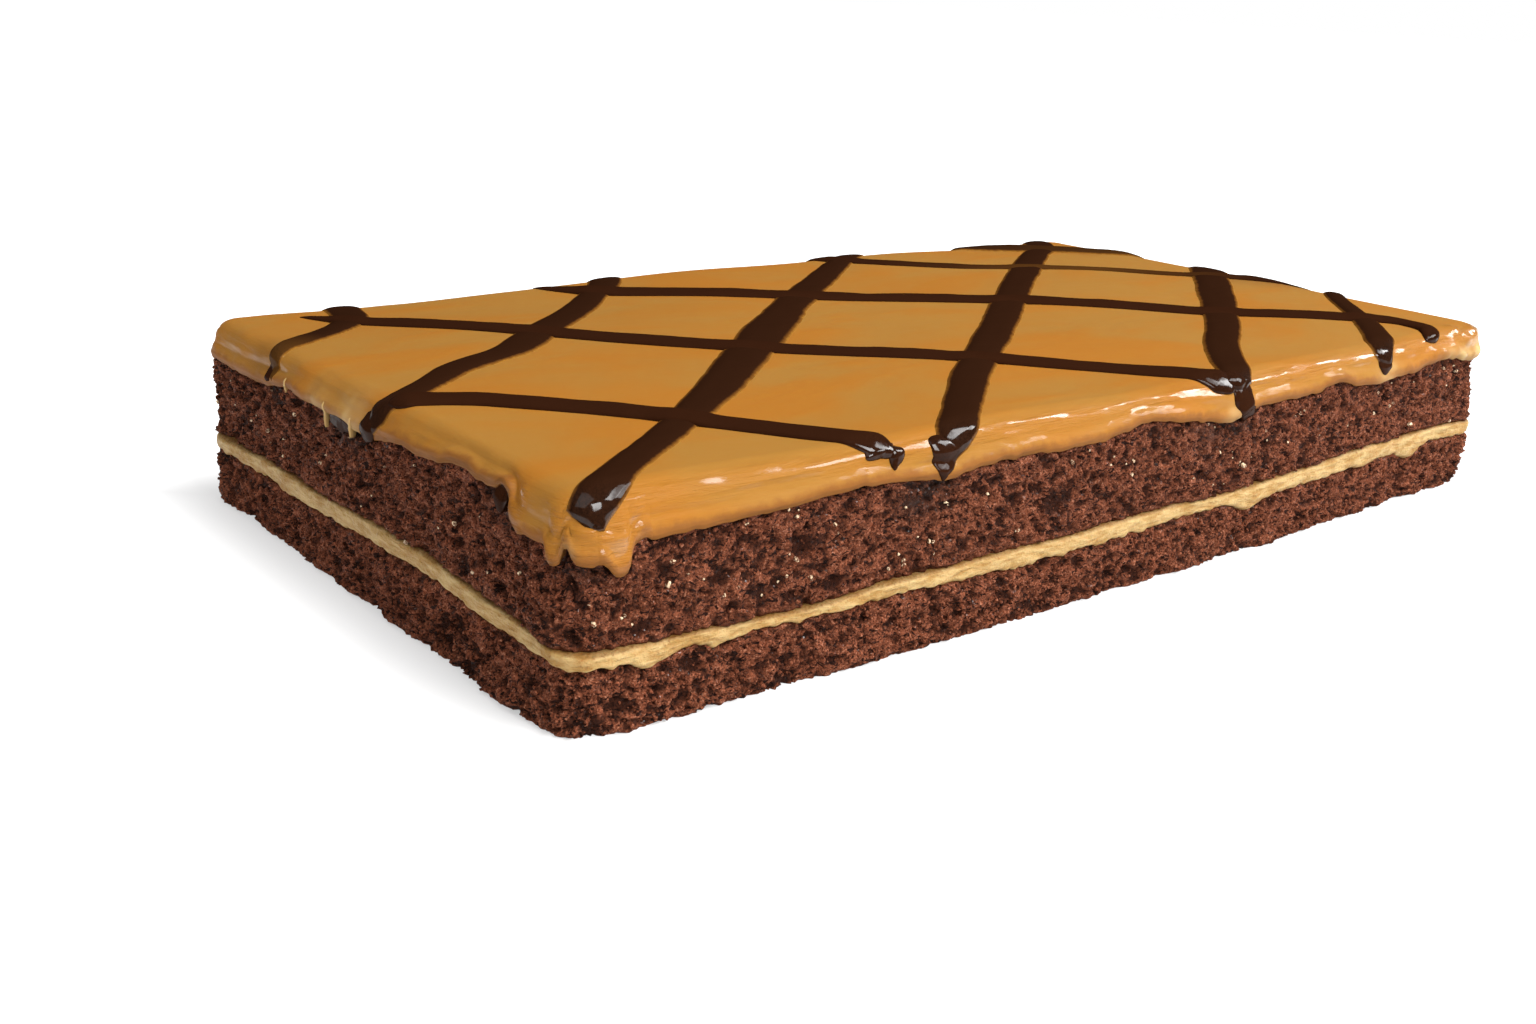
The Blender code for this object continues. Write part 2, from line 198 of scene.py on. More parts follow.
# Fine relief: amount and size of its grains
HEM_NIBBLE = ((0.00040, 0.0050), (0.00045, 0.0022))
CREAM_NIBBLE = ((0.00060, 0.0034), (0.00050, 0.0015))
SOAK_NIBBLE = (0.00016, 0.0070)
SHOULDER_RUN = (0.00030, 0.014)
RUN_FLATNESS = 8.0
CRUMB_GRAINS = ((0.00028, 0.0040), (0.00040, 0.0020), (0.00034, 0.0011))
# Bands along the hem: how far up they are, how wide and how far out
HEM_ROLL = (0.0017, 0.0013, 0.00050)
HEM_GROOVE = (0.0046, 0.0016, -0.00040)

# How far above a lobe's lower edge its bulge is full
LOBE_LEDGE = 0.0010
# Heights over the hem between which the icing thickens
THIN_BAND = (0.0002, 0.0042)

# Where the front begins, how far from the top's edge the icing is wet, where the front shoulder is wettest
# and how wide that crest is, and the lumps high enough to be wet
FRONT_EDGE = (0.078, 0.086)
WET_START = 0.0055
WET_CREST = (0.0052, 0.0026)
WET_LUMP = 0.7

# Pale spots of icing: x, y, height, radius and amount, in millimetres
PALE_SPOTS = (
    (162, -87, 47.6, 3.4, 0.8),
    (164, -83, 43.6, 3.0, 0.6),
    (155, -89, 42.4, 4.0, 0.8),
    (147, -90, 42.2, 4.0, 0.8),
    (160, -88, 42.4, 3.4, 0.8),
    (139, -90, 42.8, 3.4, 0.5),
    (104, -90.4, 41.4, 5.0, 0.5),
    (30, -90.4, 39.8, 4.0, 0.5),
    (-161, -89.5, 40.4, 1.8, 0.3),
    (-155, -90.4, 39.4, 2.0, 0.3),
    (-164.6, -85.6, 39.6, 2.0, 0.4),
    (-165, 2, 43.0, 6.0, 0.5),
    (-165, 18, 42.0, 5.0, 0.35),
)

# Where thinned chocolate tints the icing: x, y and radius in millimetres, and how much it tints it
STAIN_SPOTS = ((158, -8, 12), (150, 3, 8), (165, -20, 10), (-163, 53, 6), (150, 60, 7))
STAIN_SHARE = 0.35
# Where chocolate ran onto the crumb: x, y, height, radius in millimetres and amount
SMEARS = (
    (-76, -89.5, 37.0, 6.0, 0.8),
    (-71, -89.5, 39.0, 4.0, 0.9),
    (-82, -89.0, 35.5, 4.5, 0.6),
    (22, -90.0, 37.4, 6.5, 0.75),
    (33, -90.0, 37.2, 5.0, 0.85),
    (-161, -87.5, 35.0, 5.0, 0.85),
    (-164.5, -62, 42.8, 5.0, 0.95),
    (-164.5, -68, 39.6, 3.5, 0.95),
    (-164.5, 8, 40.0, 6.5, 0.9),
    (-164.5, -1, 39.2, 3.0, 0.75),
    (-164.5, 45, 39.0, 3.5, 0.6),
    (101, -89.0, 39.5, 4.0, 0.6),
)

# Pores in the crumb: least and greatest radius, depth over radius, and cake wall per pore in square metres
PORES = (
    (0.00045, 0.00085, 1.10, 3.6e-6),
    (0.00080, 0.00150, 0.95, 26e-6),
    (0.00160, 0.00270, 0.70, 600e-6),
)
PORE_STRETCH = 1.6
# Depths of a pore between which its crumb is painted darker as shade, and how dark the painted shade in the
# creases beside it is
PORE_SHADE = (0.00025, 0.00090)
CREASE_SHADE_SHARE = 0.25

# The cream's rows, its grains, how far it stands out, and how much and how far it is soaked at its top
# and at its foot
CREAM_ROWS = 13
CREAM_GRAINS = ((0.00022, 0.0040), (0.00012, 0.0012))
CREAM_LIFT = 0.0005
CREAM_SOAK = ((0.75, 0.0004), (0.3, 0.0003))
# How much the crumb is soaked below and above the cream, and how far
LOWER_SOAK = (0.4, 0.0010)
UPPER_SOAK = (1.0, 0.0009)
# How bright the crumb of each sponge is
LOWER_TONE = 1.12
UPPER_TONE = 1.0

# Heights between which the crumbs and the bits of cream lie, and the bits' least and greatest radius
CRUMB_HEIGHTS = (("lower", 0.0008, 0.0150), ("upper", 0.0185, 0.0400))
SPECK_HEIGHTS = (0.0200, 0.0400)
SPECK_SIZES = (0.00042, 0.0010)
# How many places are looked at for each bit, so that most lie in clusters
SPECK_CHOICES = 30
# Middles of the clusters of bits on the front, x and height, and how far they spread, in millimetres
SPECK_CLUSTERS = (
    (-153, 36), (-152, 23), (-123, 38), (-119, 34), (-112, 28), (-113, 38.5), (-101, 34), (-74, 25),
    (-60, 36), (-47, 24), (-8, 33), (36, 26), (64, 35), (110, 31),
)
SPECK_REACH = 2.2

# The lip's radius, and the rows of each part of the icing, from under the hem to the middle of the top
LIP_RADIUS = 0.00042
LIP_ROWS = 6
SIDE_ROWS = 34
TOP_ROWS = 22

# Stripes: half width and rise in millimetres, length of the taper at each end, how wide and how thin it is
# along its length, and its middle line over the unrolled icing in millimetres
FALLING_STRIPES = (
    (4.9, 1.25, (14, 5), (0.7, 1, 1, 1, 1, 1, 0.95, 1.1), (0, 0),
     ((-143, 79), (-136, 71), (-119, 55), (-69, 2), (-34, -29), (6, -64), (24, -85), (29, -91))),
    (5.2, 1.25, (16, 5), (0.8, 1, 1, 1, 1, 1, 0.95, 0.6), (0, 0),
     ((-69, 85), (-58, 74), (-29, 53), (12, 29), (63, -4), (90, -27), (124, -60), (137, -76), (135, -85),
      (128, -88.5))),
    (4.9, 1.25, (4, 5), (1, 1, 1, 1, 1, 1.05, 0.8), (0, 0),
     ((-162, -12), (-146, -20), (-137, -28), (-120, -46), (-106, -65), (-92, -84), (-86, -90.5))),
    (3.6, 0.9, (5, 6), (1, 1, 1, 0.9, 0.8, 0.8, 0.9, 1.2, 1.4), (0, 0, 0.04, 0.16, 0.2, 0.1, 0, 0),
     ((38, 92), (44, 83), (75, 57), (95, 48), (124, 31), (139, 15), (152, 1), (162, -14), (167, -31))),
)
RISING_STRIPES = (
    (3.8, 0.9, (6, 5), (0.8, 1, 1.1, 1.4, 1.5), (0.3, 0, 0, 0),
     ((-169, 43), (-163, 46), (-155, 51), (-146, 57), (-138, 64), (-132, 73), (-129, 84), (-128, 92))),
    (5.3, 0.9, (5, 5), (1, 1, 1.05, 1.1, 1.25, 1.2, 1.3), (0, 0),
     ((32, -93), (33, -88), (38, -82), (47, -74), (85, -46), (114, -24), (151, 7), (160, 14), (166, 20))),
    (4.8, 0.9, (5, 6), (0.9, 0.85, 1.05, 1.15, 1.15, 1.05, 1, 1.3), (0, 0),
     ((-170, -9), (-160, -11), (-151, -5), (-136, 7), (-115, 18), (-98, 33), (-61, 66), (-46, 82),
      (-41, 92))),
    (5.0, 0.9, (1.5, 6), (0.95, 0.85, 1, 1.3, 1.4, 1.3, 1.1, 1, 1), (0, 0),
     ((-162.0, -91.8), (-156.5, -87.3), (-141, -75), (-101, -43), (-47, 4), (-16, 30), (28, 65), (64, 92))),
    (5.1, 0.9, (10, 6), (0.95, 1, 1.05, 1.1, 1.15, 1.1, 1.15, 1.05, 1.2), (0, 0),
     ((-73.5, -97), (-70.5, -91), (-62, -83), (-27, -53), (2, -31), (40, -2), (68, 20), (126, 64),
      (147, 80), (154, 90))),
    (7.6, 1.2, (5, 8), (0.9, 1.1, 1.1, 0.9, 0.6, 0.4), (0, 0.05, 0.1, 0.15),
     ((108, 93), (116, 89), (129, 82), (143, 71), (154, 59), (162, 49), (167, 40))),
    (3.7, 1.0, (5, 2.0), (1, 1, 1.05, 1.1, 1.2, 1.3, 1.3), (0, 0),
     ((167, -32), (157, -39), (142, -53), (129, -66), (112, -81), (103.5, -88), (101.5, -93))),
)
# How soft and wavering the stripes' edges are
FALLING_SOFTNESS = 0.12
RISING_SOFTNESS = 1.0
STRIPE_STEP = 0.0009
CROSSING_LIFT = 0.55
# Points across a stripe's top and its foot, how far its edges sink in, and how deep its foot is
STRIPE_TOP_POINTS = 21
STRIPE_FOOT_POINTS = 5
STRIPE_SINK = 0.00025
STRIPE_ROOT = 0.0008
# How blunt a stripe's ends are, and the share of its width that is left there
TAPER_POWER = 0.65
LEAST_TAPER = 0.06

# Drops of icing and of chocolate, in millimetres: where each sits (x, y and height), half its length
# down the side, half its width, its height, its turn in degrees and how pointed it is
ICING_DROPS = (
    (-165.0, 13.8, 40.8, 3.0, 0.45, 0.4, -4, 0.2),
    (-165.0, 0.8, 41.0, 2.4, 0.50, 0.4, -8, 0.2),
    (-165.0, 36.0, 42.6, 1.8, 0.45, 0.3, -5, 0.2),
)
CHOCOLATE_DROPS = (
    (-90.2, -90.4, 47.6, 1.8, 4.4, 1.0, 14, 0.1),
    (-86.0, -90.4, 46.0, 2.8, 2.0, 1.0, -24, 0.3),
    (-71.8, -90.4, 45.6, 3.6, 4.4, 0.9, 0, 0.30),
    (-73.6, -90.4, 42.4, 3.2, 2.3, 0.7, 6, 0.4),
    (31.0, -90.4, 48.0, 3.2, 4.9, 1.5, 0, 0.1),
    (33.0, -90.4, 43.8, 4.4, 4.4, 0.8, -6, 0.1),
    (35.0, -90.4, 39.8, 2.2, 3.4, 0.6, -8, 0.3),
    (-165.0, 45.8, 43.9, 2.6, 2.1, 0.6, 0, 0.4),
    (-165.0, -7.8, 43.2, 3.6, 3.6, 0.9, 6, 0.25),
    (-165.0, 6.5, 40.6, 1.6, 5.5, 0.3, 0, 0.3),
    (-165.0, -66.5, 43.0, 2.6, 2.0, 0.3, 0, 0.4),
    (102.3, -90.4, 44.4, 2.9, 3.5, 0.7, -4, 0.05),
)
DROP_ROOT = 0.0012
DROP_CELL = 0.0005
DROP_SIDES = 40
DROP_RINGS = 12

# Camera, set to the view of the reference
CAMERA_PLACE = (-0.30531, -0.31031, 0.13839)
CAMERA_YAW = math.radians(39.889)
CAMERA_PITCH = math.radians(18.793)
CAMERA_ROLL = math.radians(2.865)
CAMERA_LENS = 36.783
SENSOR_WIDTH = 36.0

# How far from the cake the floor's glow is full, half the floor's width, and its grey. Nearer the cake the
# glow is dimmer: a painted contact shadow.
FLOOR_SHADOW_REACH = 0.035
FLOOR_HALF = 8.0
FLOOR_GREY = 0.42
# How much of the sky's brightness the glossy surfaces mirror
MIRRORED_SKY = 0.12
# Lights: name, the studio's power for it, place and width
LIGHTS = (
    ("key_light", "key_power", (0.05, -1.05, 0.92), 0.55),
    ("near_glint_light", "glint_power", (0.79, -0.50, 0.94), 0.40),
    ("far_glint_light", "glint_power", (1.08, -0.45, 0.72), 0.36),
    ("top_light", "top_power", (-0.50, -0.30, 1.20), 1.0),
)


def colour_property(name, description, default):
    return bpy.props.FloatVectorProperty(
        name=name, description=description, default=default, size=3, min=0.0, max=1.0, subtype="COLOR"
    )


def size_property(name, description, default):
    return bpy.props.FloatProperty(
        name=name, description=description, default=default, min=0.0001, unit="LENGTH", precision=5
    )


def strength_property(name, description, default, unit="NONE"):
    return bpy.props.FloatProperty(name=name, description=description, default=default, min=0.0, unit=unit)


class MochaCakeShape(bpy.types.PropertyGroup):
    """How fine the meshes are, and how many crumbs lie on them."""

    crumb_cell: size_property("Crumb cell", "Width of one cell of the sponge's surface", 0.00052)
    icing_cell: size_property("Icing cell", "Width of one cell of the icing's surface", 0.0008)
    crumb_count: bpy.props.IntProperty(
        name="Crumbs", description="Loose crumbs on each sponge layer", default=5000, min=0
    )
    least_crumb: size_property("Least crumb", "Radius of the smallest crumbs", 0.00022)
    greatest_crumb: size_property("Greatest crumb", "Radius of the largest crumbs", 0.00085)
    speck_count: bpy.props.IntProperty(
        name="Cream specks", description="Bits of cream on the upper sponge", default=240, min=0
    )


class MochaCakeColours(bpy.types.PropertyGroup):
    """The colours of the sponge, the cream, the icing and the chocolate."""

    # Dark crumb: the darker grains' own colour, and also the painted shade in pores and creases
    crumb_dark_and_shade: colour_property("Crumb, dark", "The crumb in its hollows", (0.014, 0.0040, 0.0021))
    crumb_middle: colour_property("Crumb", "The sponge's own brown", (0.245, 0.0710, 0.0330))
    # Painted highlight: the paler crumb laid on the ridges stands in for the light they catch
    crumb_ridge_highlight: colour_property("Crumb, light", "The crumb on its ridges", (0.540, 0.235, 0.135))
    soaked: colour_property("Soaked crumb", "The crumb along the cream", (0.100, 0.026, 0.0065))
    cream: colour_property("Cream", "The filling", (0.300, 0.165, 0.046))
    cream_pale: colour_property("Cream, pale", "The filling's lightest streaks", (0.435, 0.295, 0.122))
    cream_bits: colour_property("Cream bits", "Whitish bits caught in the crumb", (0.80, 0.60, 0.38))
    icing: colour_property("Icing", "The coffee icing on top", (0.264, 0.121, 0.0185))
    icing_deep: colour_property("Icing, deep", "The icing where it is thick", (0.288, 0.108, 0.0100))
    hem: colour_property("Hem", "The icing where it runs out thin", (0.200, 0.074, 0.0130))
    chocolate: colour_property("Chocolate", "The thin stripes", (0.0210, 0.0068, 0.0028))
    chocolate_wide: colour_property("Chocolate, wide", "The wide stripes", (0.0190, 0.0066, 0.0028))
    glaze: colour_property("Glaze", "Chocolate thinned out over the icing", (0.120, 0.045, 0.008))


class MochaCakeStudio(bpy.types.PropertyGroup):
    """The lights and the floor."""

    key_power: strength_property("Key light", "Power of the soft light in front", 23.0, "POWER")
    glint_power: strength_property("Glint lights", "Power of each small light at the right", 7.5, "POWER")
    top_power: strength_property("Top light", "Power of the soft light above", 4.5, "POWER")
    sky: strength_property("Sky", "Brightness overhead", 0.65)
    horizon: strength_property("Horizon", "Brightness around", 0.37)
    # Painted shadow: how bright the floor glows right beside the cake
    floor_glow_in_shadow: strength_property("Floor glow", "How bright the floor is in the cake's shadow", 0.46)


# Noise and waves


def ripple(x, y, z, wavelength, seed):
    """Six sine waves of about this length in seeded directions, added up: about -1 to 1."""
    draws = np.random.default_rng(seed)
    total = 0.0
    for _ in range(6):
        direction = draws.normal(size=3)
        direction /= np.linalg.norm(direction)
        length = wavelength * draws.uniform(0.7, 1.4)
        phase = draws.uniform(0.0, 2 * math.pi)
        along = x * direction[0] + y * direction[1] + z * direction[2]
        total = total + np.sin(2 * math.pi * along / length + phase)
    return total / 3.0


def grains(x, y, z, size, seed):
    """Seeded values on the corners of a cubic lattice, blended smoothly between them: -1 to 1."""
    draws = np.random.default_rng(seed)
    values = draws.uniform(-1.0, 1.0, 4096)
    order = draws.permutation(4096)
    places = np.stack(np.broadcast_arrays(x, y, z)) / size + 500.37
    whole = np.floor(places).astype(np.int64)
    part = places - whole
    part = part * part * (3 - 2 * part)
    total = np.zeros(places.shape[1:])
    for corner in product((0, 1), repeat=3):
        key = order[(whole[2] + corner[2]) & 4095]
        key = order[(whole[1] + corner[1] + key) & 4095]
        key = order[(whole[0] + corner[0] + key) & 4095]
        weight = np.ones(places.shape[1:])
        for axis, step in enumerate(corner):
            weight = weight * (part[axis] if step else 1 - part[axis])
        total += weight * values[key]
    return total


def bell(x, y, middle_x, middle_y, radius, rise_squared=0.0):
    """1 in the middle of a soft round spot and 0 far from it. Its middle and radius are in millimetres."""
    squared = (x - middle_x * MM) ** 2 + (y - middle_y * MM) ** 2 + rise_squared
    return np.exp(-squared / (radius * MM) ** 2)


def swell(x, y, swells):
    """Soft round swellings added up, in metres."""
    total = np.zeros_like(x)
    for *spot, amount in swells:
        total += amount * MM * bell(x, y, *spot)
    return total


def smooth_step(value, low, high):
    """0 below low, 1 above high and an even S in between."""
    share = np.clip((value - low) / (high - low), 0.0, 1.0)
    return share * share * (3 - 2 * share)


# The cake's outline and the unrolled icing


def bowed(points):
    """The straight plan bent: the long sides fall back at their ends, and the ends a little."""
    x, y, z = np.moveaxis(points, -1, 0)
    bow = np.where(y < 0, FRONT_BOW, BACK_BOW)
    fall_y = 1 - bow / (WIDTH / 2) * (x / (LENGTH / 2)) ** 2
    fall_x = 1 - END_BOW / (LENGTH / 2) * (y / (WIDTH / 2)) ** 2
    return np.stack((x * fall_x, y * fall_y, z), axis=-1)


def plan(inset, cell):
    """Points about a cell apart around the rounded rectangle moved in by inset, and their outward normals."""
    radius = max(CORNER_RADIUS - inset, LEAST_RADIUS)
    halves = (LENGTH / 2 - inset, WIDTH / 2 - inset)
    sides = (LENGTH - 2 * CORNER_RADIUS, WIDTH - 2 * CORNER_RADIUS)
    corner_count = round(CORNER_RADIUS * math.pi / 2 / cell)
    points = []
    normals = []
    for quarter in range(4):
        start = math.pi / 2 * (quarter - 1)
        out = np.array((math.cos(start), math.sin(start)))
        along = np.array((-out[1], out[0]))
        half_along, half_out = halves if quarter % 2 == 0 else halves[::-1]
        count = round(sides[quarter % 2] / cell)
        reach = half_along - radius
        place = np.linspace(-reach, reach, count, endpoint=False)[:, None]
        points.append(out * half_out + along * place)
        normals.append(np.tile(out, (count, 1)))
        angle = np.linspace(start, start + math.pi / 2, corner_count, endpoint=False)
        normal = np.column_stack((np.cos(angle), np.sin(angle)))
        points.append(out * (half_out - radius) + along * reach + normal * radius)
        normals.append(normal)
    return np.vstack(points), np.vstack(normals)


def ring(inset, cell, height, push=0.0):
    """Rings at this inset, pushed outwards along its normals: one for each row of heights."""
    points, normals = plan(inset, cell)
    height, push = np.broadcast_arrays(height, push)
    height, push = np.broadcast_arrays(height + np.zeros(len(points)), push)
    moved = points + normals * push[..., None]
    return bowed(np.concatenate((moved, height[..., None]), axis=-1))


def shoulder_inset(height):
    """How far in the icing's outer face is at a height: none below the shoulder's foot."""
    rise = np.clip((height - SHOULDER_FOOT) / (ICING_TOP - SHOULDER_FOOT), 0.0, 1.0)
    return SHOULDER_WIDTH * (1 - np.sqrt(1 - rise**2))


def top_wave(points):
    """The same points with the top's gentle unevenness, which fades out down the shoulder."""
    x, y, z = np.moveaxis(points, -1, 0)
    fade = np.clip((z - TOP_WAVE_START) / (ICING_TOP - TOP_WAVE_START), 0.0, 1.0)
    wave = TOP_WAVE[0] * ripple(x, y, 0 * z, TOP_WAVE[1], 41) + swell(x, y, TOP_SWELLS)
    return np.stack((x, y, z + fade * wave), axis=-1)


def flare(x, y, height):
    """How far the crumb bulges out at a height: most a little below the cream, in soft spots."""
    return np.exp(-(((height - FLARE_MIDDLE) / FLARE_REACH) ** 2)) * swell(x, y, FLARE_SWELLS)


def nibbled(x, y, nibbles, seed):
    """Flat grains of several sizes added up, each with its own amount."""
    total = 0.0
    for number, (amount, size) in enumerate(nibbles):
        total = total + amount * grains(x, y, 0 * x, size, seed + number)
    return total


def lobe_share(x, y, middle_x, middle_y, radius):
    """1 over a lobe and 0 away from it, with a blunt end: the fourth power of the distance, as a bell."""
    squared = ((x - middle_x * MM) ** 2 + (y - middle_y * MM) ** 2) / (radius * MM) ** 2
    return np.exp(-(squared**2))


def hem_height(x, y):
    """Height of the icing's hem above a point of the outline."""
    wave = HEM_WAVE[0] * ripple(x, y, 0 * x, HEM_WAVE[1], 11)
    hanging = sum(hang * MM * lobe_share(x, y, *spot) for *spot, hang, _, _ in LOBES)
    return HEM_HEIGHT + wave + swell(x, y, HEM_SWELLS) - hanging + nibbled(x, y, HEM_NIBBLE, 12)


def lower_seam(x, y):
    """Height of the ragged seam between the lower sponge and the cream."""
    wave = SEAM_WAVE[0] * ripple(x, y, 0 * x, SEAM_WAVE[1], 21)
    return LOWER_SEAM + wave + swell(x, y, LOWER_SEAM_SWELLS) + nibbled(x, y, CREAM_NIBBLE, 24)


def upper_seam(x, y):
    """Height of the smoother seam between the cream and the upper sponge."""
    wave = SEAM_WAVE[0] * ripple(x, y, 0 * x, SEAM_WAVE[1], 22)
    nibble = SOAK_NIBBLE[0] * grains(x, y, 0 * x, SOAK_NIBBLE[1], 26)
    return UPPER_SEAM + wave + swell(x, y, UPPER_SEAM_SWELLS) + nibble


def shoulder_profile():
    """Distance run, distance out and height down the icing's section from the top's edge.

    The section is a quarter ellipse.
    """
    angles = np.linspace(0.0, math.pi / 2, 60)
    out = SHOULDER_WIDTH * np.sin(angles)
    height = SHOULDER_FOOT + (ICING_TOP - SHOULDER_FOOT) * np.cos(angles)
    run = np.concatenate(((0.0,), np.cumsum(np.hypot(np.diff(out), np.diff(height)))))
    return run, out, height


def run_down(height):
    """Distance run down the icing from the top's edge to a height."""
    run, _, level = shoulder_profile()
    on_shoulder = np.interp(-height, -level, run)
    return np.where(height < SHOULDER_FOOT, run[-1] + SHOULDER_FOOT - height, on_shoulder)


def wrapped(flat):
    """Unrolled plan points laid on the icing: place, outward normal, direction down and distance run.

    On the top they stay put. Past the top's edge, the distance from it is run down the shoulder
    and then straight down the side.
    """
    run, out, height = shoulder_profile()
    radius = CORNER_RADIUS - SHOULDER_WIDTH
    reach = np.array((LENGTH / 2, WIDTH / 2)) - SHOULDER_WIDTH - radius
    outside = np.maximum(np.abs(flat) - reach, 0.0)
    length = np.linalg.norm(outside, axis=-1)
    normal = np.sign(flat) * outside / np.maximum(length, 1e-9)[..., None]
    distance = np.maximum(length - radius, 0.0)
    past = np.maximum(distance - run[-1], 0.0)
    moved = np.interp(distance, run, out) - distance
    level = np.interp(distance, run, height) - past
    flatness = np.interp(distance, run, np.gradient(out, run)) * (past <= 0)
    steep = np.sqrt(1 - np.clip(flatness, 0.0, 1.0) ** 2)
    place = top_wave(np.concatenate((flat + normal * moved[..., None], level[..., None]), axis=-1))
    outward = np.concatenate((normal * steep[..., None], flatness[..., None]), axis=-1)
    outward /= np.linalg.norm(outward, axis=-1, keepdims=True)
    down = np.concatenate((normal * flatness[..., None], -steep[..., None]), axis=-1)
    return place, outward, down, distance


def wetness(place, distance):
    """How wet the icing looks: not at all on top, most along the front shoulder and on lobes and lumps."""
    x, y, z = np.moveaxis(place, -1, 0)
    front = smooth_step(-y, *FRONT_EDGE)
    crest = np.exp(-(((distance - WET_CREST[0]) / WET_CREST[1]) ** 2))
    wet = 0.3 + front * (0.7 * crest - 0.1)
    for lobe_x, lobe_y, radius, _, _, _ in LOBES:
        wet = np.maximum(wet, lobe_share(x, y, lobe_x, lobe_y, radius))
    for lump_x, lump_y, lump_z, radius, amount in LUMPS:
        if amount > WET_LUMP:
            wet = np.maximum(wet, bell(x, y, lump_x, lump_y, radius, (z - lump_z * MM) ** 2))
    return smooth_step(distance, 0.0, WET_START) * wet


def side_relief(place, distance):
    """The icing's relief down its side: low runs, a rolled lip above the hem under a groove, and lumps."""
    x, y, z = np.moveaxis(place, -1, 0)
    amount, size = SHOULDER_RUN
    runs = grains(x, y, z * RUN_FLATNESS, size, 43) + 0.5 * grains(x, y, z * RUN_FLATNESS, size / 2, 44)
    relief = amount * runs * smooth_step(distance, 0.001, 0.005)
    hem_run = run_down(hem_height(x, y))
    above = hem_run - distance
    relief = relief + np.clip(distance / hem_run, 0.0, 1.0) * swell(x, y, LIP_SWELLS)
    for number, (middle, spread, depth) in enumerate((HEM_ROLL, HEM_GROOVE)):
        strength = 1 + 0.8 * grains(x, y, 0 * z, 0.012, 46 + number)
        relief = relief + depth * strength * np.exp(-(((above - middle) / spread) ** 2))
    for lobe_x, lobe_y, radius, _, bulge, top in LOBES:
        across = lobe_share(x, y, lobe_x, lobe_y, radius + 0.5)
        relief = relief + bulge * MM * across * smooth_step(top * MM - z, 0.0, LOBE_LEDGE)
    for lump_x, lump_y, lump_z, radius, amount in LUMPS:
        relief = relief + amount * MM * bell(x, y, lump_x, lump_y, radius, (z - lump_z * MM) ** 2)
    return relief


# Meshes


class Shells:
    """Closed surfaces gathered into one mesh. Each is a grid of points whose rows are rings."""

    def __init__(self):
        self.points = []
        self.faces = []
        self.values = {}
        self.count = 0

    def add(self, grid, capped=(True, True), **values):
        """Adds one surface and its values. Capped says whether a face closes its first and its last row."""
        rows, columns = grid.shape[:2]
        row = np.arange(rows - 1)[:, None] * columns
        column = np.arange(columns)
        after = (column + 1) % columns
        corners = (row + column, row + after, row + columns + after, row + columns + column)
        quads = np.stack(corners, axis=-1).reshape(-1, 4) + self.count
        self.faces.extend(quads.tolist())
        if capped[0]:
            self.faces.append((column[::-1] + self.count).tolist())
        if capped[1]:
            self.faces.append((column + self.count + (rows - 1) * columns).tolist())
        self.points.append(grid.reshape(-1, 3))
        for name, value in values.items():
            self.values.setdefault(name, []).append(np.broadcast_to(value, (rows, columns)).ravel())
        self.count += rows * columns

    def build(self, name, merge=False):
        """The piece, with a point attribute for each value. Merge joins points that lie on each other."""
        mesh = bpy.data.meshes.new(name)
        mesh.from_pydata(np.vstack(self.points).tolist(), [], self.faces)
        for key, value in self.values.items():
            layer = mesh.attributes.new(key, "FLOAT", "POINT")
            layer.data.foreach_set("value", np.concatenate(value).astype(np.float32))
        if merge:
            bm = bmesh.new()
            bm.from_mesh(mesh)
            bmesh.ops.remove_doubles(bm, verts=bm.verts, dist=1e-7)
            bm.to_mesh(mesh)
            bm.free()
        mesh.shade_smooth()
        return bpy.data.objects.new(name, mesh)


def place_piece(obj, finish, slot, *nodes):
    """Links a finished piece, gives it its material and its body, and hides what it stands for. Its slot is
    not used.
    """
    bpy.context.scene.collection.objects.link(obj)
    obj.data.materials.append(finish)
    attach(obj, "root")
    if nodes:
        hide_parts(*nodes)
    return obj


# Shader maths


class Value:
    """A socket of a material, with arithmetic that adds Math nodes."""

    def __init__(self, finish, socket):
        self.finish = finish
        self.socket = socket

    def maths(self, operation, first, second=None, clamp=False):
        inputs = {0: first} if second is None else {0: first, 1: second}
        return self.finish.node("ShaderNodeMath", {"operation": operation, "use_clamp": clamp}, inputs)

    def __add__(self, other):
        return self.maths("ADD", self, other)

    def __radd__(self, other):
        return self.maths("ADD", other, self)

    def __sub__(self, other):
        return self.maths("SUBTRACT", self, other)

    def __rsub__(self, other):
        return self.maths("SUBTRACT", other, self)

    def __mul__(self, other):
        return self.maths("MULTIPLY", self, other)

    def __rmul__(self, other):
        return self.maths("MULTIPLY", other, self)

    def size(self):
        return self.maths("ABSOLUTE", self)

    def between(self, low, high):
        """0 at low, 1 at high and an even S in between; low may be above high."""
        settings = {"interpolation_type": "SMOOTHSTEP"}
        inputs = {"Value": self, "From Min": min(low, high), "From Max": max(low, high)}
        share = self.finish.node("ShaderNodeMapRange", settings, inputs)
        return share if low < high else 1.0 - share


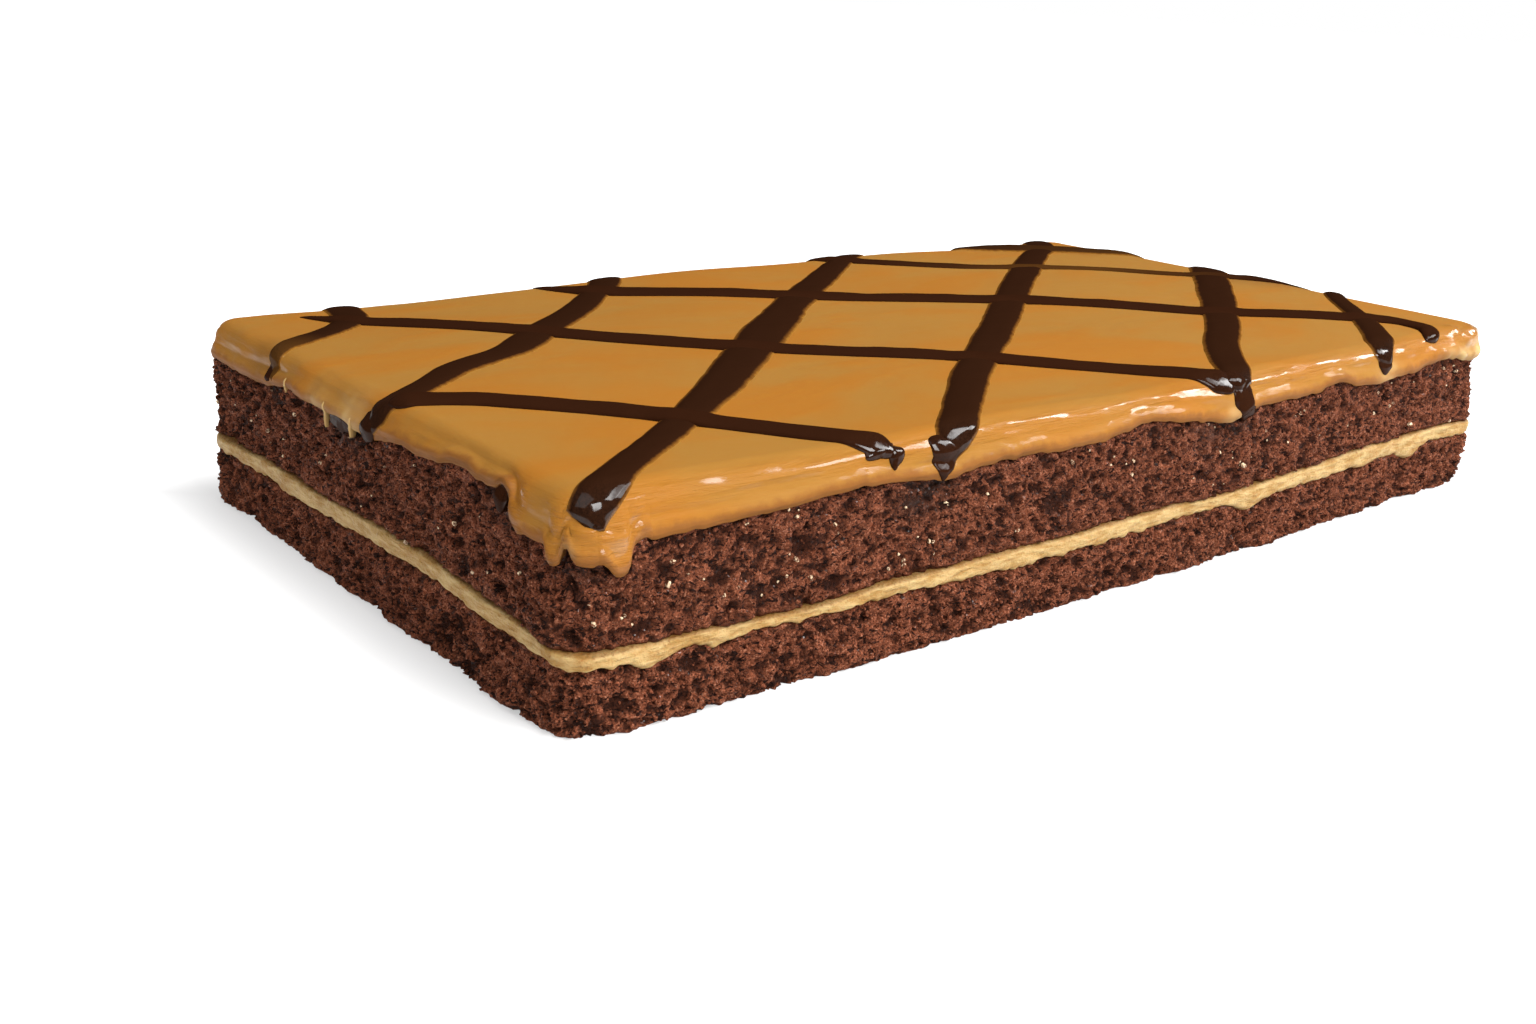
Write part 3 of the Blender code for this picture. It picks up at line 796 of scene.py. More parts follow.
class Finish:
    """A material under construction around its Principled shader."""

    def __init__(self, name, **constants):
        self.material = bpy.data.materials.new(name)
        self.material.use_nodes = True
        self.tree = self.material.node_tree
        self.shader = self.tree.nodes["Principled BSDF"]
        for socket, constant in constants.items():
            self.shader.inputs[socket.replace("_", " ")].default_value = constant
        self.places = self.node("ShaderNodeTexCoord", {}, {}, output="Object")

    def put(self, socket, item):
        if isinstance(item, Value):
            self.tree.links.new(item.socket, socket)
        elif hasattr(socket.default_value, "__len__") and len(socket.default_value) == 4:
            socket.default_value = (*item, 1.0)
        else:
            socket.default_value = item

    def node(self, kind, settings, inputs, output=0):
        made = self.tree.nodes.new(kind)
        for key, setting in settings.items():
            setattr(made, key, setting)
        for key, item in inputs.items():
            self.put(made.inputs[key], item)
        return Value(self, made.outputs[output])

    def attribute(self, name):
        return self.node("ShaderNodeAttribute", {"attribute_name": name}, {}, output="Fac")

    def stretched(self, scale):
        """The piece's own places, scaled along each axis."""
        return self.node("ShaderNodeMapping", {}, {"Vector": self.places, "Scale": scale})

    def noise(self, scale, detail=2.0, roughness=0.5, places=None, distortion=0.0):
        inputs = {
            "Vector": places or self.places,
            "Scale": scale,
            "Detail": detail,
            "Roughness": roughness,
            "Distortion": distortion,
        }
        return self.node("ShaderNodeTexNoise", {}, inputs, output="Fac")

    def mix(self, share, first, second, blend="MIX"):
        settings = {"data_type": "RGBA", "blend_type": blend}
        return self.node("ShaderNodeMix", settings, {0: share, 6: first, 7: second}, output=2)

    def bump(self, height, distance, strength=1.0, normal=None):
        inputs = {"Strength": strength, "Distance": distance, "Height": height}
        if normal:
            inputs["Normal"] = normal
        return self.node("ShaderNodeBump", {}, inputs)

    def connect(self, **sockets):
        for name, item in sockets.items():
            self.put(self.shader.inputs[name.replace("_", " ")], item)
        return self.material


def crumb_finish(name, colours, tone):
    """Dark crumb: lighter and darker grains, paler ridges as painted highlight, painted shade in pores and
    creases, wet glints and a soaked line.
    """
    finish = Finish(name, Specular_IOR_Level=0.10, Coat_Roughness=0.15, Coat_IOR=1.35)
    coarse = finish.noise(640.0, 4.0, 0.65)
    fine = finish.noise(2100.0, 3.0, 0.68)
    folds = finish.noise(760.0, 2.0, 0.55, distortion=0.9)
    openings = finish.noise(1.0, 2.0, 0.5, places=finish.stretched((620.0, 620.0, 1150.0)), distortion=0.7)
    # Painted shade: creases between the grains and sharp pinholes, darkened below
    crease_shade = (folds - 0.5).size().between(0.030, 0.0)
    pinhole_shade = openings.between(0.60, 0.62)
    hollow = finish.attribute("hollow")
    smear = finish.attribute("smear")
    soak = finish.attribute("soak")
    light = (coarse * 0.35 + fine * 0.65).between(0.36, 0.53)
    colour = finish.mix(light, colours.crumb_dark_and_shade, colours.crumb_middle)
    # Painted highlight: ridges away from the hollows are made paler
    ridge = (coarse * 0.3 + fine * 0.7).between(0.54, 0.64) * (1.0 - hollow)
    colour = finish.mix(ridge * 0.8, colour, colours.crumb_ridge_highlight)
    colour = finish.mix(crease_shade * 0.50, colour, colours.crumb_dark_and_shade)
    colour = finish.mix(pinhole_shade * 0.93, colour, colours.crumb_dark_and_shade)
    # Painted shade from the pores and creases of the sponge's mesh
    colour = finish.mix(hollow * 0.85, colour, colours.crumb_dark_and_shade)
    colour = finish.mix(soak * 0.7, colour, colours.soaked)
    colour = finish.mix(smear * 0.92, colour, colours.chocolate)
    if tone != 1.0:
        colour = finish.mix(1.0, colour, (tone, tone, tone), blend="MULTIPLY")
    normal = finish.bump(coarse, 0.0015)
    normal = finish.bump(fine, 0.00065, 1.0, normal)
    normal = finish.bump(pinhole_shade + crease_shade * 0.4, -0.0009, 1.0, normal)
    glints = finish.noise(2400.0, 1.0, 0.5).between(0.64, 0.72)
    wet = glints * 0.9 + smear * 0.12 + soak * 0.15
    return finish.connect(Base_Color=colour, Roughness=0.85 - 0.2 * smear, Coat_Weight=wet, Normal=normal)


def bits_finish(colours):
    """Whitish bits of cream and glaze caught in the crumb."""
    finish = Finish("cream_bits", Specular_IOR_Level=0.3, Roughness=0.45)
    spots = finish.noise(1500.0, 2.0, 0.6)
    colour = finish.mix(spots.between(0.42, 0.60), colours.soaked, colours.cream_bits)
    return finish.connect(Base_Color=colour, Normal=finish.bump(spots, 0.0005))


def cream_finish(colours):
    """Coffee cream: pale streaks along the layer, tan where the sponge soaked it, and fine pits."""
    finish = Finish("coffee_cream", Specular_IOR_Level=0.15, Subsurface_Weight=0.10, Subsurface_Scale=0.002)
    streaks = finish.noise(1.0, 3.0, 0.6, places=finish.stretched((220.0, 220.0, 900.0)))
    patches = finish.noise(110.0, 2.0, 0.5)
    pits = finish.noise(1300.0, 2.0, 0.6)
    soak = finish.attribute("soak")
    pale = (streaks * 0.6 + patches * 0.4).between(0.38, 0.62)
    colour = finish.mix(pale, colours.cream, colours.cream_pale)
    colour = finish.mix(pits.between(0.60, 0.72) * 0.5, colour, colours.hem)
    colour = finish.mix((soak + (pits - 0.5) * 0.8) * soak.between(0.0, 0.3), colour, colours.glaze)
    normal = finish.bump(streaks, 0.0008)
    normal = finish.bump(pits, 0.00035, 0.9, normal)
    return finish.connect(Base_Color=colour, Roughness=0.62 - 0.2 * streaks, Normal=normal)


def icing_finish(colours):
    """Coffee icing: satin on top, wet down the shoulder in broken streaks, thin and dull at the hem."""
    finish = Finish(
        "coffee_icing",
        Specular_IOR_Level=0.10,
        Coat_Roughness=0.08,
        Coat_IOR=1.4,
        Subsurface_Weight=0.10,
        Subsurface_Scale=0.002,
        Subsurface_Radius=(1.0, 0.45, 0.15),
    )
    broad = finish.noise(1.0, 3.0, 0.55, places=finish.stretched((16.0, 34.0, 30.0)), distortion=0.6)
    cloudy = finish.noise(60.0, 3.0, 0.55)
    damp = finish.attribute("wetness")
    thin = finish.attribute("thin")
    stain = finish.attribute("stain")
    colour = finish.mix(broad.between(0.38, 0.64), colours.icing, colours.icing_deep)
    colour = finish.mix(damp * 0.6, colour, colours.icing_deep)
    worn = thin + (finish.noise(420.0, 3.0, 0.6) - 0.5) * 0.9
    colour = finish.mix(worn.between(0.25, 0.95) * thin.between(0.0, 0.25), colour, colours.hem)
    colour = finish.mix(thin.between(0.93, 1.0) * cloudy, colour, colours.glaze)
    colour = finish.mix(finish.attribute("pale"), colour, colours.cream_pale)
    colour = finish.mix(stain, colour, colours.glaze)
    streaks = finish.noise(1.0, 4.0, 0.65, places=finish.stretched((150.0, 150.0, 1200.0)), distortion=0.5)
    ripples = finish.noise(1.0, 2.0, 0.5, places=finish.stretched((70.0, 70.0, 1500.0)))
    breaks = finish.noise(1.0, 3.0, 0.6, places=finish.stretched((90.0, 90.0, 420.0)))
    normal = finish.bump(broad, 0.0012, 0.5)
    normal = finish.bump(streaks * damp, 0.0005, 1.0, normal)
    normal = finish.bump(ripples * damp, 0.0005, 0.9, normal)
    normal = finish.bump(finish.noise(450.0, 2.0, 0.5), 0.00010, 0.4, normal)
    wet = damp * (0.08 + 0.92 * breaks.between(0.42, 0.56)) * (1.0 - 0.8 * thin)
    roughness = 0.55 - 0.12 * damp + 0.12 * cloudy + 0.1 * thin
    return finish.connect(Base_Color=colour, Roughness=roughness, Coat_Weight=wet, Normal=normal)


def chocolate_finish(name, colours, colour):
    """Chocolate drizzle: satin on top, wet where it ran down, its feathered edges thinning to the icing."""
    finish = Finish(name, Specular_IOR_Level=0.0, Coat_Roughness=0.09, Coat_IOR=1.35)
    cloudy = finish.noise(150.0, 3.0, 0.6)
    hairs = finish.noise(700.0, 3.0, 0.6)
    edge = finish.attribute("edge")
    film = finish.attribute("film")
    damp = finish.attribute("wetness")
    feather = (edge + (hairs - 0.5) * 0.5 + (cloudy - 0.5) * 0.4) * edge.between(0.0, 0.2)
    shade = finish.mix(feather.between(0.10, 0.60) * 0.8 + film * 0.8, colour, colours.glaze)
    shade = finish.mix(feather.between(0.60, 1.00) * 0.8 + film * 0.35, shade, colours.icing)
    folds = finish.noise(800.0, 3.0, 0.6, distortion=1.2)
    normal = finish.bump(cloudy, 0.0005, 0.5)
    normal = finish.bump(folds * damp, 0.0014, 1.0, normal)
    wet = damp * (0.35 + 0.65 * cloudy.between(0.42, 0.55))
    return finish.connect(Base_Color=shade, Roughness=0.50 + 0.1 * cloudy, Coat_Weight=wet, Normal=normal)


# Icing


def stained(x, y):
    """Where thinned chocolate tints the icing: soft spots along the faded stripes."""
    total = np.zeros_like(x)
    for spot in STAIN_SPOTS:
        total += STAIN_SHARE * bell(x, y, *spot)
    return np.clip(total, 0.0, 1.0)


def icing_coat(shells, cell):
    """The icing's skin: rings from under the hem round its lip, up the side and shoulder and over the top.

    Down the side, a ring is the top's edge moved out over the unrolled icing. On the top, each ring is the
    edge drawn in towards the line between the middles of its two ends.
    """
    edge_x, edge_y = plan(0.0, cell)[0].T
    hem = hem_height(edge_x, edge_y)
    lip = LIP_RADIUS * (1 + 0.5 * grains(edge_x, edge_y, 0 * edge_x, 0.009, 45))
    rim, normals = plan(SHOULDER_WIDTH, cell)
    hem_run = run_down(hem) - lip

    share = np.linspace(1.0, 0.0, SIDE_ROWS)[:, None]
    distance = share * hem_run
    flat = rim + normals * distance[..., None]
    place, outward, _, _ = wrapped(flat)
    above = hem_run - distance
    lift = side_relief(place, distance)
    side = place + outward * lift[..., None]

    foot, foot_out, foot_down, _ = wrapped(flat[:1])
    turn = np.linspace(math.pi, 0.0, LIP_ROWS, endpoint=False)[:, None, None]
    middle = foot + foot_out * (lift[0] - lip)[..., None]
    lips = middle + lip[:, None] * (np.cos(turn) * foot_out + np.sin(turn) * foot_down)

    ceiling = np.maximum(CEILING, hem + UNDERSIDE_RISE)
    core = ring(CORE_INSET, cell, CEILING)[None]
    under = ring(CEILING_INSET, cell, ceiling)[None]
    inner = ring(0.0, cell, hem + INNER_RISE, -SKIN_INSET - shoulder_inset(hem))[None]

    half = np.array((LENGTH / 2, WIDTH / 2)) - SHOULDER_WIDTH
    ridge = np.clip(rim[:, 0], half[1] - half[0], half[0] - half[1])
    draw = np.linspace(1.0, 0.0, TOP_ROWS)[1:, None]
    top_x = ridge + draw * (rim[:, 0] - ridge)
    top_y = draw * rim[:, 1]
    top = top_wave(np.stack((top_x, top_y, np.full(top_x.shape, ICING_TOP)), axis=-1))

    grid = np.concatenate((core, under, inner, bowed(lips), bowed(side), bowed(top)))
    rows, columns = grid.shape[:2]
    lower_rows = 3 + LIP_ROWS
    side_wet = wetness(place, distance)
    wet = np.zeros((rows, columns))
    wet[:lower_rows] = side_wet[0]
    wet[lower_rows : lower_rows + SIDE_ROWS] = side_wet
    thin = np.zeros((rows, columns))
    thin[:lower_rows] = 1.0
    thin[lower_rows : lower_rows + SIDE_ROWS] = 1 - smooth_step(above, *THIN_BAND)
    stain = stained(grid[..., 0], grid[..., 1])
    pale = smeared(grid, PALE_SPOTS)
    shells.add(grid, capped=(True, False), wetness=wet, thin=thin, stain=stain, pale=pale)


def drop(x, y, height, half_length, half_width, rise, turn, point):
    """A drop on the icing's side. Its outline is an ellipse drawn in towards its lower end.

    It is laid out in distance run round the outline and down the side. It rises by the square root of
    one less the squared share of the way out, and its root goes into the cake.
    """
    points, normals = plan(0.0, DROP_CELL)
    rim = plan(SHOULDER_WIDTH, DROP_CELL)[0]
    steps = np.linalg.norm(np.roll(points, -1, axis=0) - points, axis=1)
    run = np.concatenate(((0.0,), np.cumsum(steps)[:-1]))
    start = run[np.argmin(np.hypot(points[:, 0] - x * MM, points[:, 1] - y * MM))]
    angle = np.linspace(0.0, 2 * math.pi, DROP_SIDES, endpoint=False)
    share = np.sin(np.linspace(0.0, math.pi / 2, DROP_RINGS))
    uneven = 1 + 0.06 * np.sin(3 * angle + x) + 0.04 * np.sin(5 * angle + 2 * y)
    length = half_length * MM * np.cos(angle) * uneven
    width = half_width * MM * np.sin(angle) * (1 - point * np.cos(angle)) * uneven
    cosine, sine = math.cos(math.radians(turn)), math.sin(math.radians(turn))
    down = float(run_down(height * MM)) + share[:, None] * (length * cosine - width * sine)
    across = start + share[:, None] * (length * sine + width * cosine)
    sides = [np.interp(across, run, line, period=steps.sum()) for line in (*rim.T, *normals.T)]
    flat = np.stack((sides[0] + sides[2] * down, sides[1] + sides[3] * down), axis=-1)
    place, outward, _, distance = wrapped(flat)
    bulge = rise * MM * np.sqrt(1 - share**2)[:, None] * (1 + 0.25 * (share[:, None] * np.cos(angle)))
    lift = side_relief(place, distance) + bulge
    upper = place + outward * lift[..., None]
    root = place - outward * DROP_ROOT
    grid = bowed(np.concatenate((root[:1], root[-1:], upper[::-1])))
    return grid, np.concatenate((distance[:1], distance[-1:], distance[::-1]))


# Drizzle


def smooth_line(points):
    """A curve through the points whose slope at each comes from its two neighbours."""
    line = np.array(points, dtype=float) * MM
    lengths = np.linalg.norm(np.diff(line, axis=0), axis=1)
    run = np.concatenate(((0.0,), np.cumsum(lengths)))
    slopes = np.gradient(line, run, axis=0)
    t = np.linspace(0.0, 1.0, 24, endpoint=False)[:, None]
    stretches = []
    for i, length in enumerate(lengths):
        start = line[i] * (2 * t**3 - 3 * t**2 + 1) + slopes[i] * length * (t**3 - 2 * t**2 + t)
        end = line[i + 1] * (3 * t**2 - 2 * t**3) + slopes[i + 1] * length * (t**3 - t**2)
        stretches.append(start + end)
    return np.vstack((*stretches, line[-1:]))


def evenly_spaced(line, step):
    """Points a step apart along a line, and the distance run to each."""
    run = np.concatenate(((0.0,), np.cumsum(np.linalg.norm(np.diff(line, axis=0), axis=1))))
    wanted = np.linspace(0.0, run[-1], math.ceil(run[-1] / step) + 1)
    return np.column_stack([np.interp(wanted, run, line[:, axis]) for axis in range(2)]), wanted


def along(factors, share):
    """Evenly spread factors read off at each share of the way along."""
    return np.interp(share, np.linspace(0.0, 1.0, len(factors)), factors)


def crossing_lift(flat, under):
    """How far a stripe is lifted where it crosses those under it: a soft flat-topped bump over each."""
    lift = np.zeros(flat.shape[:-1])
    for half_width, rise, _, _, _, points in under:
        line, _ = evenly_spaced(smooth_line(points), 0.002)
        gap = np.full(flat.shape[:-1], 1.0)
        for start in line:
            gap = np.minimum(gap, np.linalg.norm(flat - start, axis=-1))
        bump = CROSSING_LIFT * rise * MM * np.exp(-((gap / (1.2 * half_width * MM)) ** 4))
        lift = np.maximum(lift, bump)
    return lift


def stripe(shells, number, stripe_values, softness, under):
    """A ribbon of drizzle over the unrolled icing.

    Its section is one less the share of the way out raised to a power, sunk into the icing at its edges,
    and both of its edges waver on their own.
    """
    half_width, rise, tapers, widths, films, points = stripe_values
    middle, run = evenly_spaced(smooth_line(points), STRIPE_STEP)
    direction = np.gradient(middle, axis=0)
    direction /= np.linalg.norm(direction, axis=1)[:, None]
    left = np.column_stack((-direction[:, 1], direction[:, 0]))
    share = run / run[-1]
    start = np.clip(run / (tapers[0] * MM), 0.0, 1.0) ** TAPER_POWER
    end = np.clip((run[-1] - run) / (tapers[1] * MM), 0.0, 1.0) ** TAPER_POWER
    taper = np.maximum(np.minimum(start, end), LEAST_TAPER)
    half = half_width * MM * along(widths, share) * taper
    thinness = along(films, share)

    top_points = np.linspace(1.0, -1.0, STRIPE_TOP_POINTS)
    across = np.concatenate((top_points, np.linspace(-0.8, 0.8, STRIPE_FOOT_POINTS)))
    waver = []
    for edge in (0, 1):
        slow = grains(run, 0 * run, number + 0 * run, 0.016, 60 + edge)
        quick = grains(run, 0 * run, number + 0 * run, 0.0045, 62 + edge)
        waver.append(1 + (0.05 + 0.05 * softness) * slow + (0.02 + 0.02 * softness) * quick)
    reach = np.where(across > 0, waver[0][:, None], waver[1][:, None])
    flat = middle[:, None] + left[:, None] * (half[:, None] * across * reach)[..., None]
    place, outward, _, distance = wrapped(flat)

    upper = np.arange(len(across)) < STRIPE_TOP_POINTS
    power = 2.6 + 0.6 * softness
    body = np.maximum(1 - np.abs(across) ** power, 0.0) ** (0.6 + 0.6 * softness)
    x, y, z = np.moveaxis(place, -1, 0)
    lumps = grains(x, y, z, 0.009, 64 + number) + 0.4 * grains(x, y, z, 0.004, 90 + number)
    level = rise * MM * (1 - 0.65 * thinness[:, None]) * body * (1 + 0.16 * lumps) * taper[:, None] ** 0.7
    lifted = crossing_lift(flat, under)
    level = level * (1 - 0.3 * lifted / (CROSSING_LIFT * 1.35 * MM)) + lifted
    sunk = np.where(np.abs(across) > 0.99, -STRIPE_SINK, 0.0)
    lift = np.where(upper, level + sunk, -STRIPE_ROOT) + side_relief(place, distance)
    grid = bowed(place + outward * lift[..., None])
    edge = np.where(upper, smooth_step(np.abs(across), 0.70, 1.0), 1.0) * softness
    film = np.broadcast_to(thinness[:, None], distance.shape)
    shells.add(grid, edge=edge, film=film, wetness=wetness(place, distance))


# Sponge and cream


def pore_depths(shape, cell, row_step, seed, radii, steepness, spread):
    """Bowls at seeded places of a wall: each is one less the fourth power of the share of the way out."""
    rows, columns = shape
    draws = np.random.default_rng(seed)
    count = int(columns * cell * rows * row_step.mean() / spread)
    column = draws.uniform(0, columns, count)
    row = draws.uniform(1, rows - 2, count)
    radius = draws.uniform(*radii, count)
    stretch = draws.uniform(1.0, PORE_STRETCH, count)
    tilt = draws.uniform(-0.4, 0.4, count)
    roughness = draws.uniform(-0.3, 0.3, shape)
    depth = np.zeros(shape)
    reach_across = math.ceil(radii[1] * PORE_STRETCH / cell)
    reach_up = math.ceil(radii[1] * 1.2 / row_step.min())
    for step_up in range(-reach_up, reach_up + 1):
        for step_across in range(-reach_across, reach_across + 1):
            at_row = np.clip(np.round(row).astype(int) + step_up, 0, rows - 1)
            at_column = (np.round(column).astype(int) + step_across) % columns
            over = (np.round(column) + step_across - column) * cell
            up = (at_row - row) * row_step[at_column]
            out = np.hypot(over / stretch + tilt * up, up) / radius * (1 + roughness[at_row, at_column])
            bowl = -steepness * radius * np.maximum(1 - out**4, 0.0)
            np.minimum.at(depth, (at_row, at_column), bowl)
    return depth


def crumb_relief(x, y, z):
    """Rounded lumps of three sizes with sharp creases between them, and how deep in one each place is, which
    sets the painted shade there.
    """
    relief = 0.0
    crease_shade = 0.0
    for number, (amount, size) in enumerate(CRUMB_GRAINS):
        lump = np.abs(grains(x, y, z, size, 70 + number))
        relief = relief + amount * (2.5 * lump - 0.75)
        crease_shade = np.maximum(crease_shade, (1 - smooth_step(lump, 0.0, 0.10)) * (0.9 - 0.15 * number))
    return relief, crease_shade


def sponge_wall(cell, foot, top, seed, hem=None):
    """A sponge layer's side: the crags of its solid, lumps and pores, rounded off at both seams, and the
    painted shade of its pores and creases.

    Behind the icing's hem, it is smooth and lies just below the icing.
    """
    edge_x, edge_y = plan(0.0, cell)[0].T
    rows = math.ceil(float((top - foot).mean()) / cell) + 1
    share = np.linspace(0.0, 1.0, rows)[:, None]
    height = foot + share * (top - foot)
    crags = CRAG[0] * ripple(edge_x, edge_y, height, CRAG[1], seed)
    crags = crags + CRUMB[0] * ripple(edge_x, edge_y, height, CRUMB[1], seed + 1)
    row_step = (top - foot) / (rows - 1)
    pores = np.zeros(height.shape)
    for number, (*radii, steepness, spread) in enumerate(PORES):
        pore_seed = seed + 10 + number
        bowls = pore_depths(height.shape, cell, row_step, pore_seed, radii, steepness, spread)
        pores = np.minimum(pores, bowls)
    lumps, crease_shade = crumb_relief(edge_x, edge_y, height)
    relief = crags + lumps + pores
    rounding = EDGE_ROUNDING * np.clip(1 - (height - foot) / ROUNDING_REACH, 0.0, 1.0) ** 2
    if hem is None:
        rounding = rounding + EDGE_ROUNDING * np.clip(1 - (top - height) / ROUNDING_REACH, 0.0, 1.0) ** 2
    else:
        cover = smooth_step(height - hem, *HEM_COVER)
        relief = relief * (1 - cover) - COVERED_INSET * cover
    bulge = flare(edge_x, edge_y, height)
    wall = ring(SPONGE_INSET, cell, height, relief + bulge - rounding - shoulder_inset(height))
    # Painted shade: how much the crumb is darkened in pores and creases
    hollow = np.maximum(smooth_step(-pores, *PORE_SHADE), CREASE_SHADE_SHARE * crease_shade)
    return wall, hollow, height


def soak_line(height, seam, amount, reach):
    """How soaked each place is: most along the seam."""
    return amount * np.exp(-(((height - seam) / reach) ** 2))


def smeared(wall, smears):
    """Soft spots on the cake's side, broken up by grains."""
    x, y, z = np.moveaxis(wall, -1, 0)
    total = np.zeros(x.shape)
    for middle_x, middle_y, middle_z, radius, amount in smears:
        total += amount * bell(x, y, middle_x, middle_y, radius, 1.6 * (z - middle_z * MM) ** 2)
    broken = 1 + 0.6 * grains(x, y, z, 0.002, 81)
    return np.clip(total * broken, 0.0, 1.0)


# Crumbs


def crumb_shapes(places, outward, least, greatest, seed, flatten):
    """Twenty-sided lumps with seeded corners, sunk a little into what they lie on."""
    draws = np.random.default_rng(seed)
    ring_height = 1 / math.sqrt(5)
    ring_radius = 2 / math.sqrt(5)
    fifths = np.arange(5) * 2 * math.pi / 5
    corners = [(0.0, 0.0, 1.0)]
    for offset, side in ((0.0, 1.0), (math.pi / 5, -1.0)):
        turn = fifths + offset
        level = np.full(5, side * ring_height)
        corners.extend(zip(ring_radius * np.cos(turn), ring_radius * np.sin(turn), level))
    corners.append((0.0, 0.0, -1.0))
    faces = []
    for i in range(5):
        upper, upper_next = 1 + i, 1 + (i + 1) % 5
        lower, lower_next = 6 + i, 6 + (i + 1) % 5
        faces += [(0, upper, upper_next), (upper, lower, upper_next)]
        faces += [(upper_next, lower, lower_next), (lower, 11, lower_next)]
    count = len(places)
    size = least + (greatest - least) * draws.uniform(0, 1, count) ** 2.5
    lumps = np.array(corners) * draws.uniform(0.65, 1.25, (count, 12, 1))
    axes = np.linalg.qr(draws.normal(size=(count, 3, 3)))[0]
    axes[:, :, 0] *= np.sign(np.linalg.det(axes))[:, None]
    stretch = draws.uniform(1 - flatten, 1.0, (count, 1, 3))
    lumps = np.einsum("nij,nkj->nki", axes, lumps * stretch) * size[:, None, None]
    points = lumps + (places + outward * (size * 0.15)[:, None])[:, None]
    indices = np.array(faces)[None] + 12 * np.arange(count)[:, None, None]
    return points.reshape(-1, 3), indices.reshape(-1, 3)


def spots_on(obj, count, seed, low, high):
    """Seeded vertices of a piece's side between two heights: their places and outward normals."""
    mesh = obj.data
    places = np.empty(len(mesh.vertices) * 3, np.float32)
    normals = np.empty(len(mesh.vertices) * 3, np.float32)
    mesh.vertices.foreach_get("co", places)
    mesh.vertex_normals.foreach_get("vector", normals)
    places = places.reshape(-1, 3).astype(float)
    normals = normals.reshape(-1, 3).astype(float)
    steep = np.abs(normals[:, 2]) < 0.75
    outer = np.maximum(np.abs(places[:, 0]) * 2 / LENGTH, np.abs(places[:, 1]) * 2 / WIDTH) > 0.93
    usable = np.flatnonzero(steep & outer & (places[:, 2] > low) & (places[:, 2] < high))
    chosen = np.random.default_rng(seed).choice(usable, count, replace=False)
    return places[chosen], normals[chosen]


def crumb_piece(name, places, outward, least, greatest, seed, flatten=0.5):
    points, faces = crumb_shapes(places, outward, least, greatest, seed, flatten)
    mesh = bpy.data.meshes.new(name)
    mesh.from_pydata(points.tolist(), [], faces.tolist())
    mesh.shade_smooth()
    return bpy.data.objects.new(name, mesh)


class MakeIcing(bpy.types.Operator):
    """Makes the coffee icing and the thin strings that hang from its hem"""

    bl_idname = "mocha_cake.icing"
    bl_label = "Icing"

    def execute(self, context):
        finish = icing_finish(context.scene.mocha_colours)
        coat = Shells()
        icing_coat(coat, context.scene.mocha_shape.icing_cell)
        place_piece(coat.build("icing_coat", merge=True), finish, "icing", "icing")
        drips = Shells()
        for values in ICING_DROPS:
            grid, distance = drop(*values)
            wet = wetness(grid, distance)
            drips.add(grid, capped=(False, False), wetness=wet, thin=0.0, stain=0.0, pale=0.7)
        place_piece(drips.build("icing_drips", merge=True), finish, "icing")
        return {"FINISHED"}


class MakeDrizzle(bpy.types.Operator):
    """Makes the chocolate lattice, in two directions, and the drops at its ends"""

    bl_idname = "mocha_cake.drizzle"
    bl_label = "Drizzle"

    def execute(self, context):
        colours = context.scene.mocha_colours
        dark = chocolate_finish("chocolate_dark", colours, colours.chocolate)
        wide = chocolate_finish("chocolate_wide", colours, colours.chocolate_wide)
        falling = Shells()
        for number, values in enumerate(FALLING_STRIPES):
            stripe(falling, number, values, FALLING_SOFTNESS, RISING_STRIPES)
        place_piece(falling.build("drizzle_falling"), dark, "drizzle", "icing")
        rising = Shells()
        for number, values in enumerate(RISING_STRIPES, len(FALLING_STRIPES)):
            stripe(rising, number, values, RISING_SOFTNESS, ())
        place_piece(rising.build("drizzle_rising"), wide, "drizzle", "icing")
        drops = Shells()
        for values in CHOCOLATE_DROPS:
            grid, distance = drop(*values)
            wet = wetness(grid, distance)
            drops.add(grid, capped=(False, False), edge=0.0, film=0.0, wetness=wet)
        place_piece(drops.build("drizzle_drops", merge=True), dark, "drizzle")
        return {"FINISHED"}


class MakeSponges(bpy.types.Operator):
    """Makes the two layers of dark sponge with their pores"""

    bl_idname = "mocha_cake.sponges"
    bl_label = "Sponges"

    def execute(self, context):
        colours = context.scene.mocha_colours
        cell = context.scene.mocha_shape.crumb_cell
        edge_x, edge_y = plan(0.0, cell)[0].T
        low = lower_seam(edge_x, edge_y)
        high = upper_seam(edge_x, edge_y)
        hem = hem_height(edge_x, edge_y)

        wall, hollow, height = sponge_wall(cell, np.zeros(len(edge_x)), low, 31)
        core = ring(CORE_INSET, cell, LOWER_SEAM)[None]
        soak = soak_line(height, low, *LOWER_SOAK)
        lower = Shells()
        grid = np.concatenate((wall, core))
        pad = np.zeros((1, len(edge_x)))
        smear = smeared(grid, SMEARS)
        lower.add(grid, hollow=np.vstack((hollow, pad)), soak=np.vstack((soak, pad)), smear=smear)
        finish = crumb_finish("crumb_lower", colours, LOWER_TONE)
        place_piece(lower.build("lower_sponge_crumb"), finish, "lower_sponge", "lower_sponge")

        wall, hollow, height = sponge_wall(cell, high, hem + HEM_LAP, 33, hem)
        first = ring(CORE_INSET, cell, UPPER_SEAM)[None]
        last = ring(CORE_INSET, cell, CEILING)[None]
        soak = soak_line(height, high, *UPPER_SOAK)
        upper = Shells()
        grid = np.concatenate((first, wall, last))
        smear = smeared(grid, SMEARS)
        padded_soak = np.vstack((pad, soak, pad))
        upper.add(grid, hollow=np.vstack((pad, hollow, pad)), soak=padded_soak, smear=smear)
        finish = crumb_finish("crumb_upper", colours, UPPER_TONE)
        place_piece(upper.build("upper_sponge_crumb"), finish, "upper_sponge", "upper_sponge")
        return {"FINISHED"}


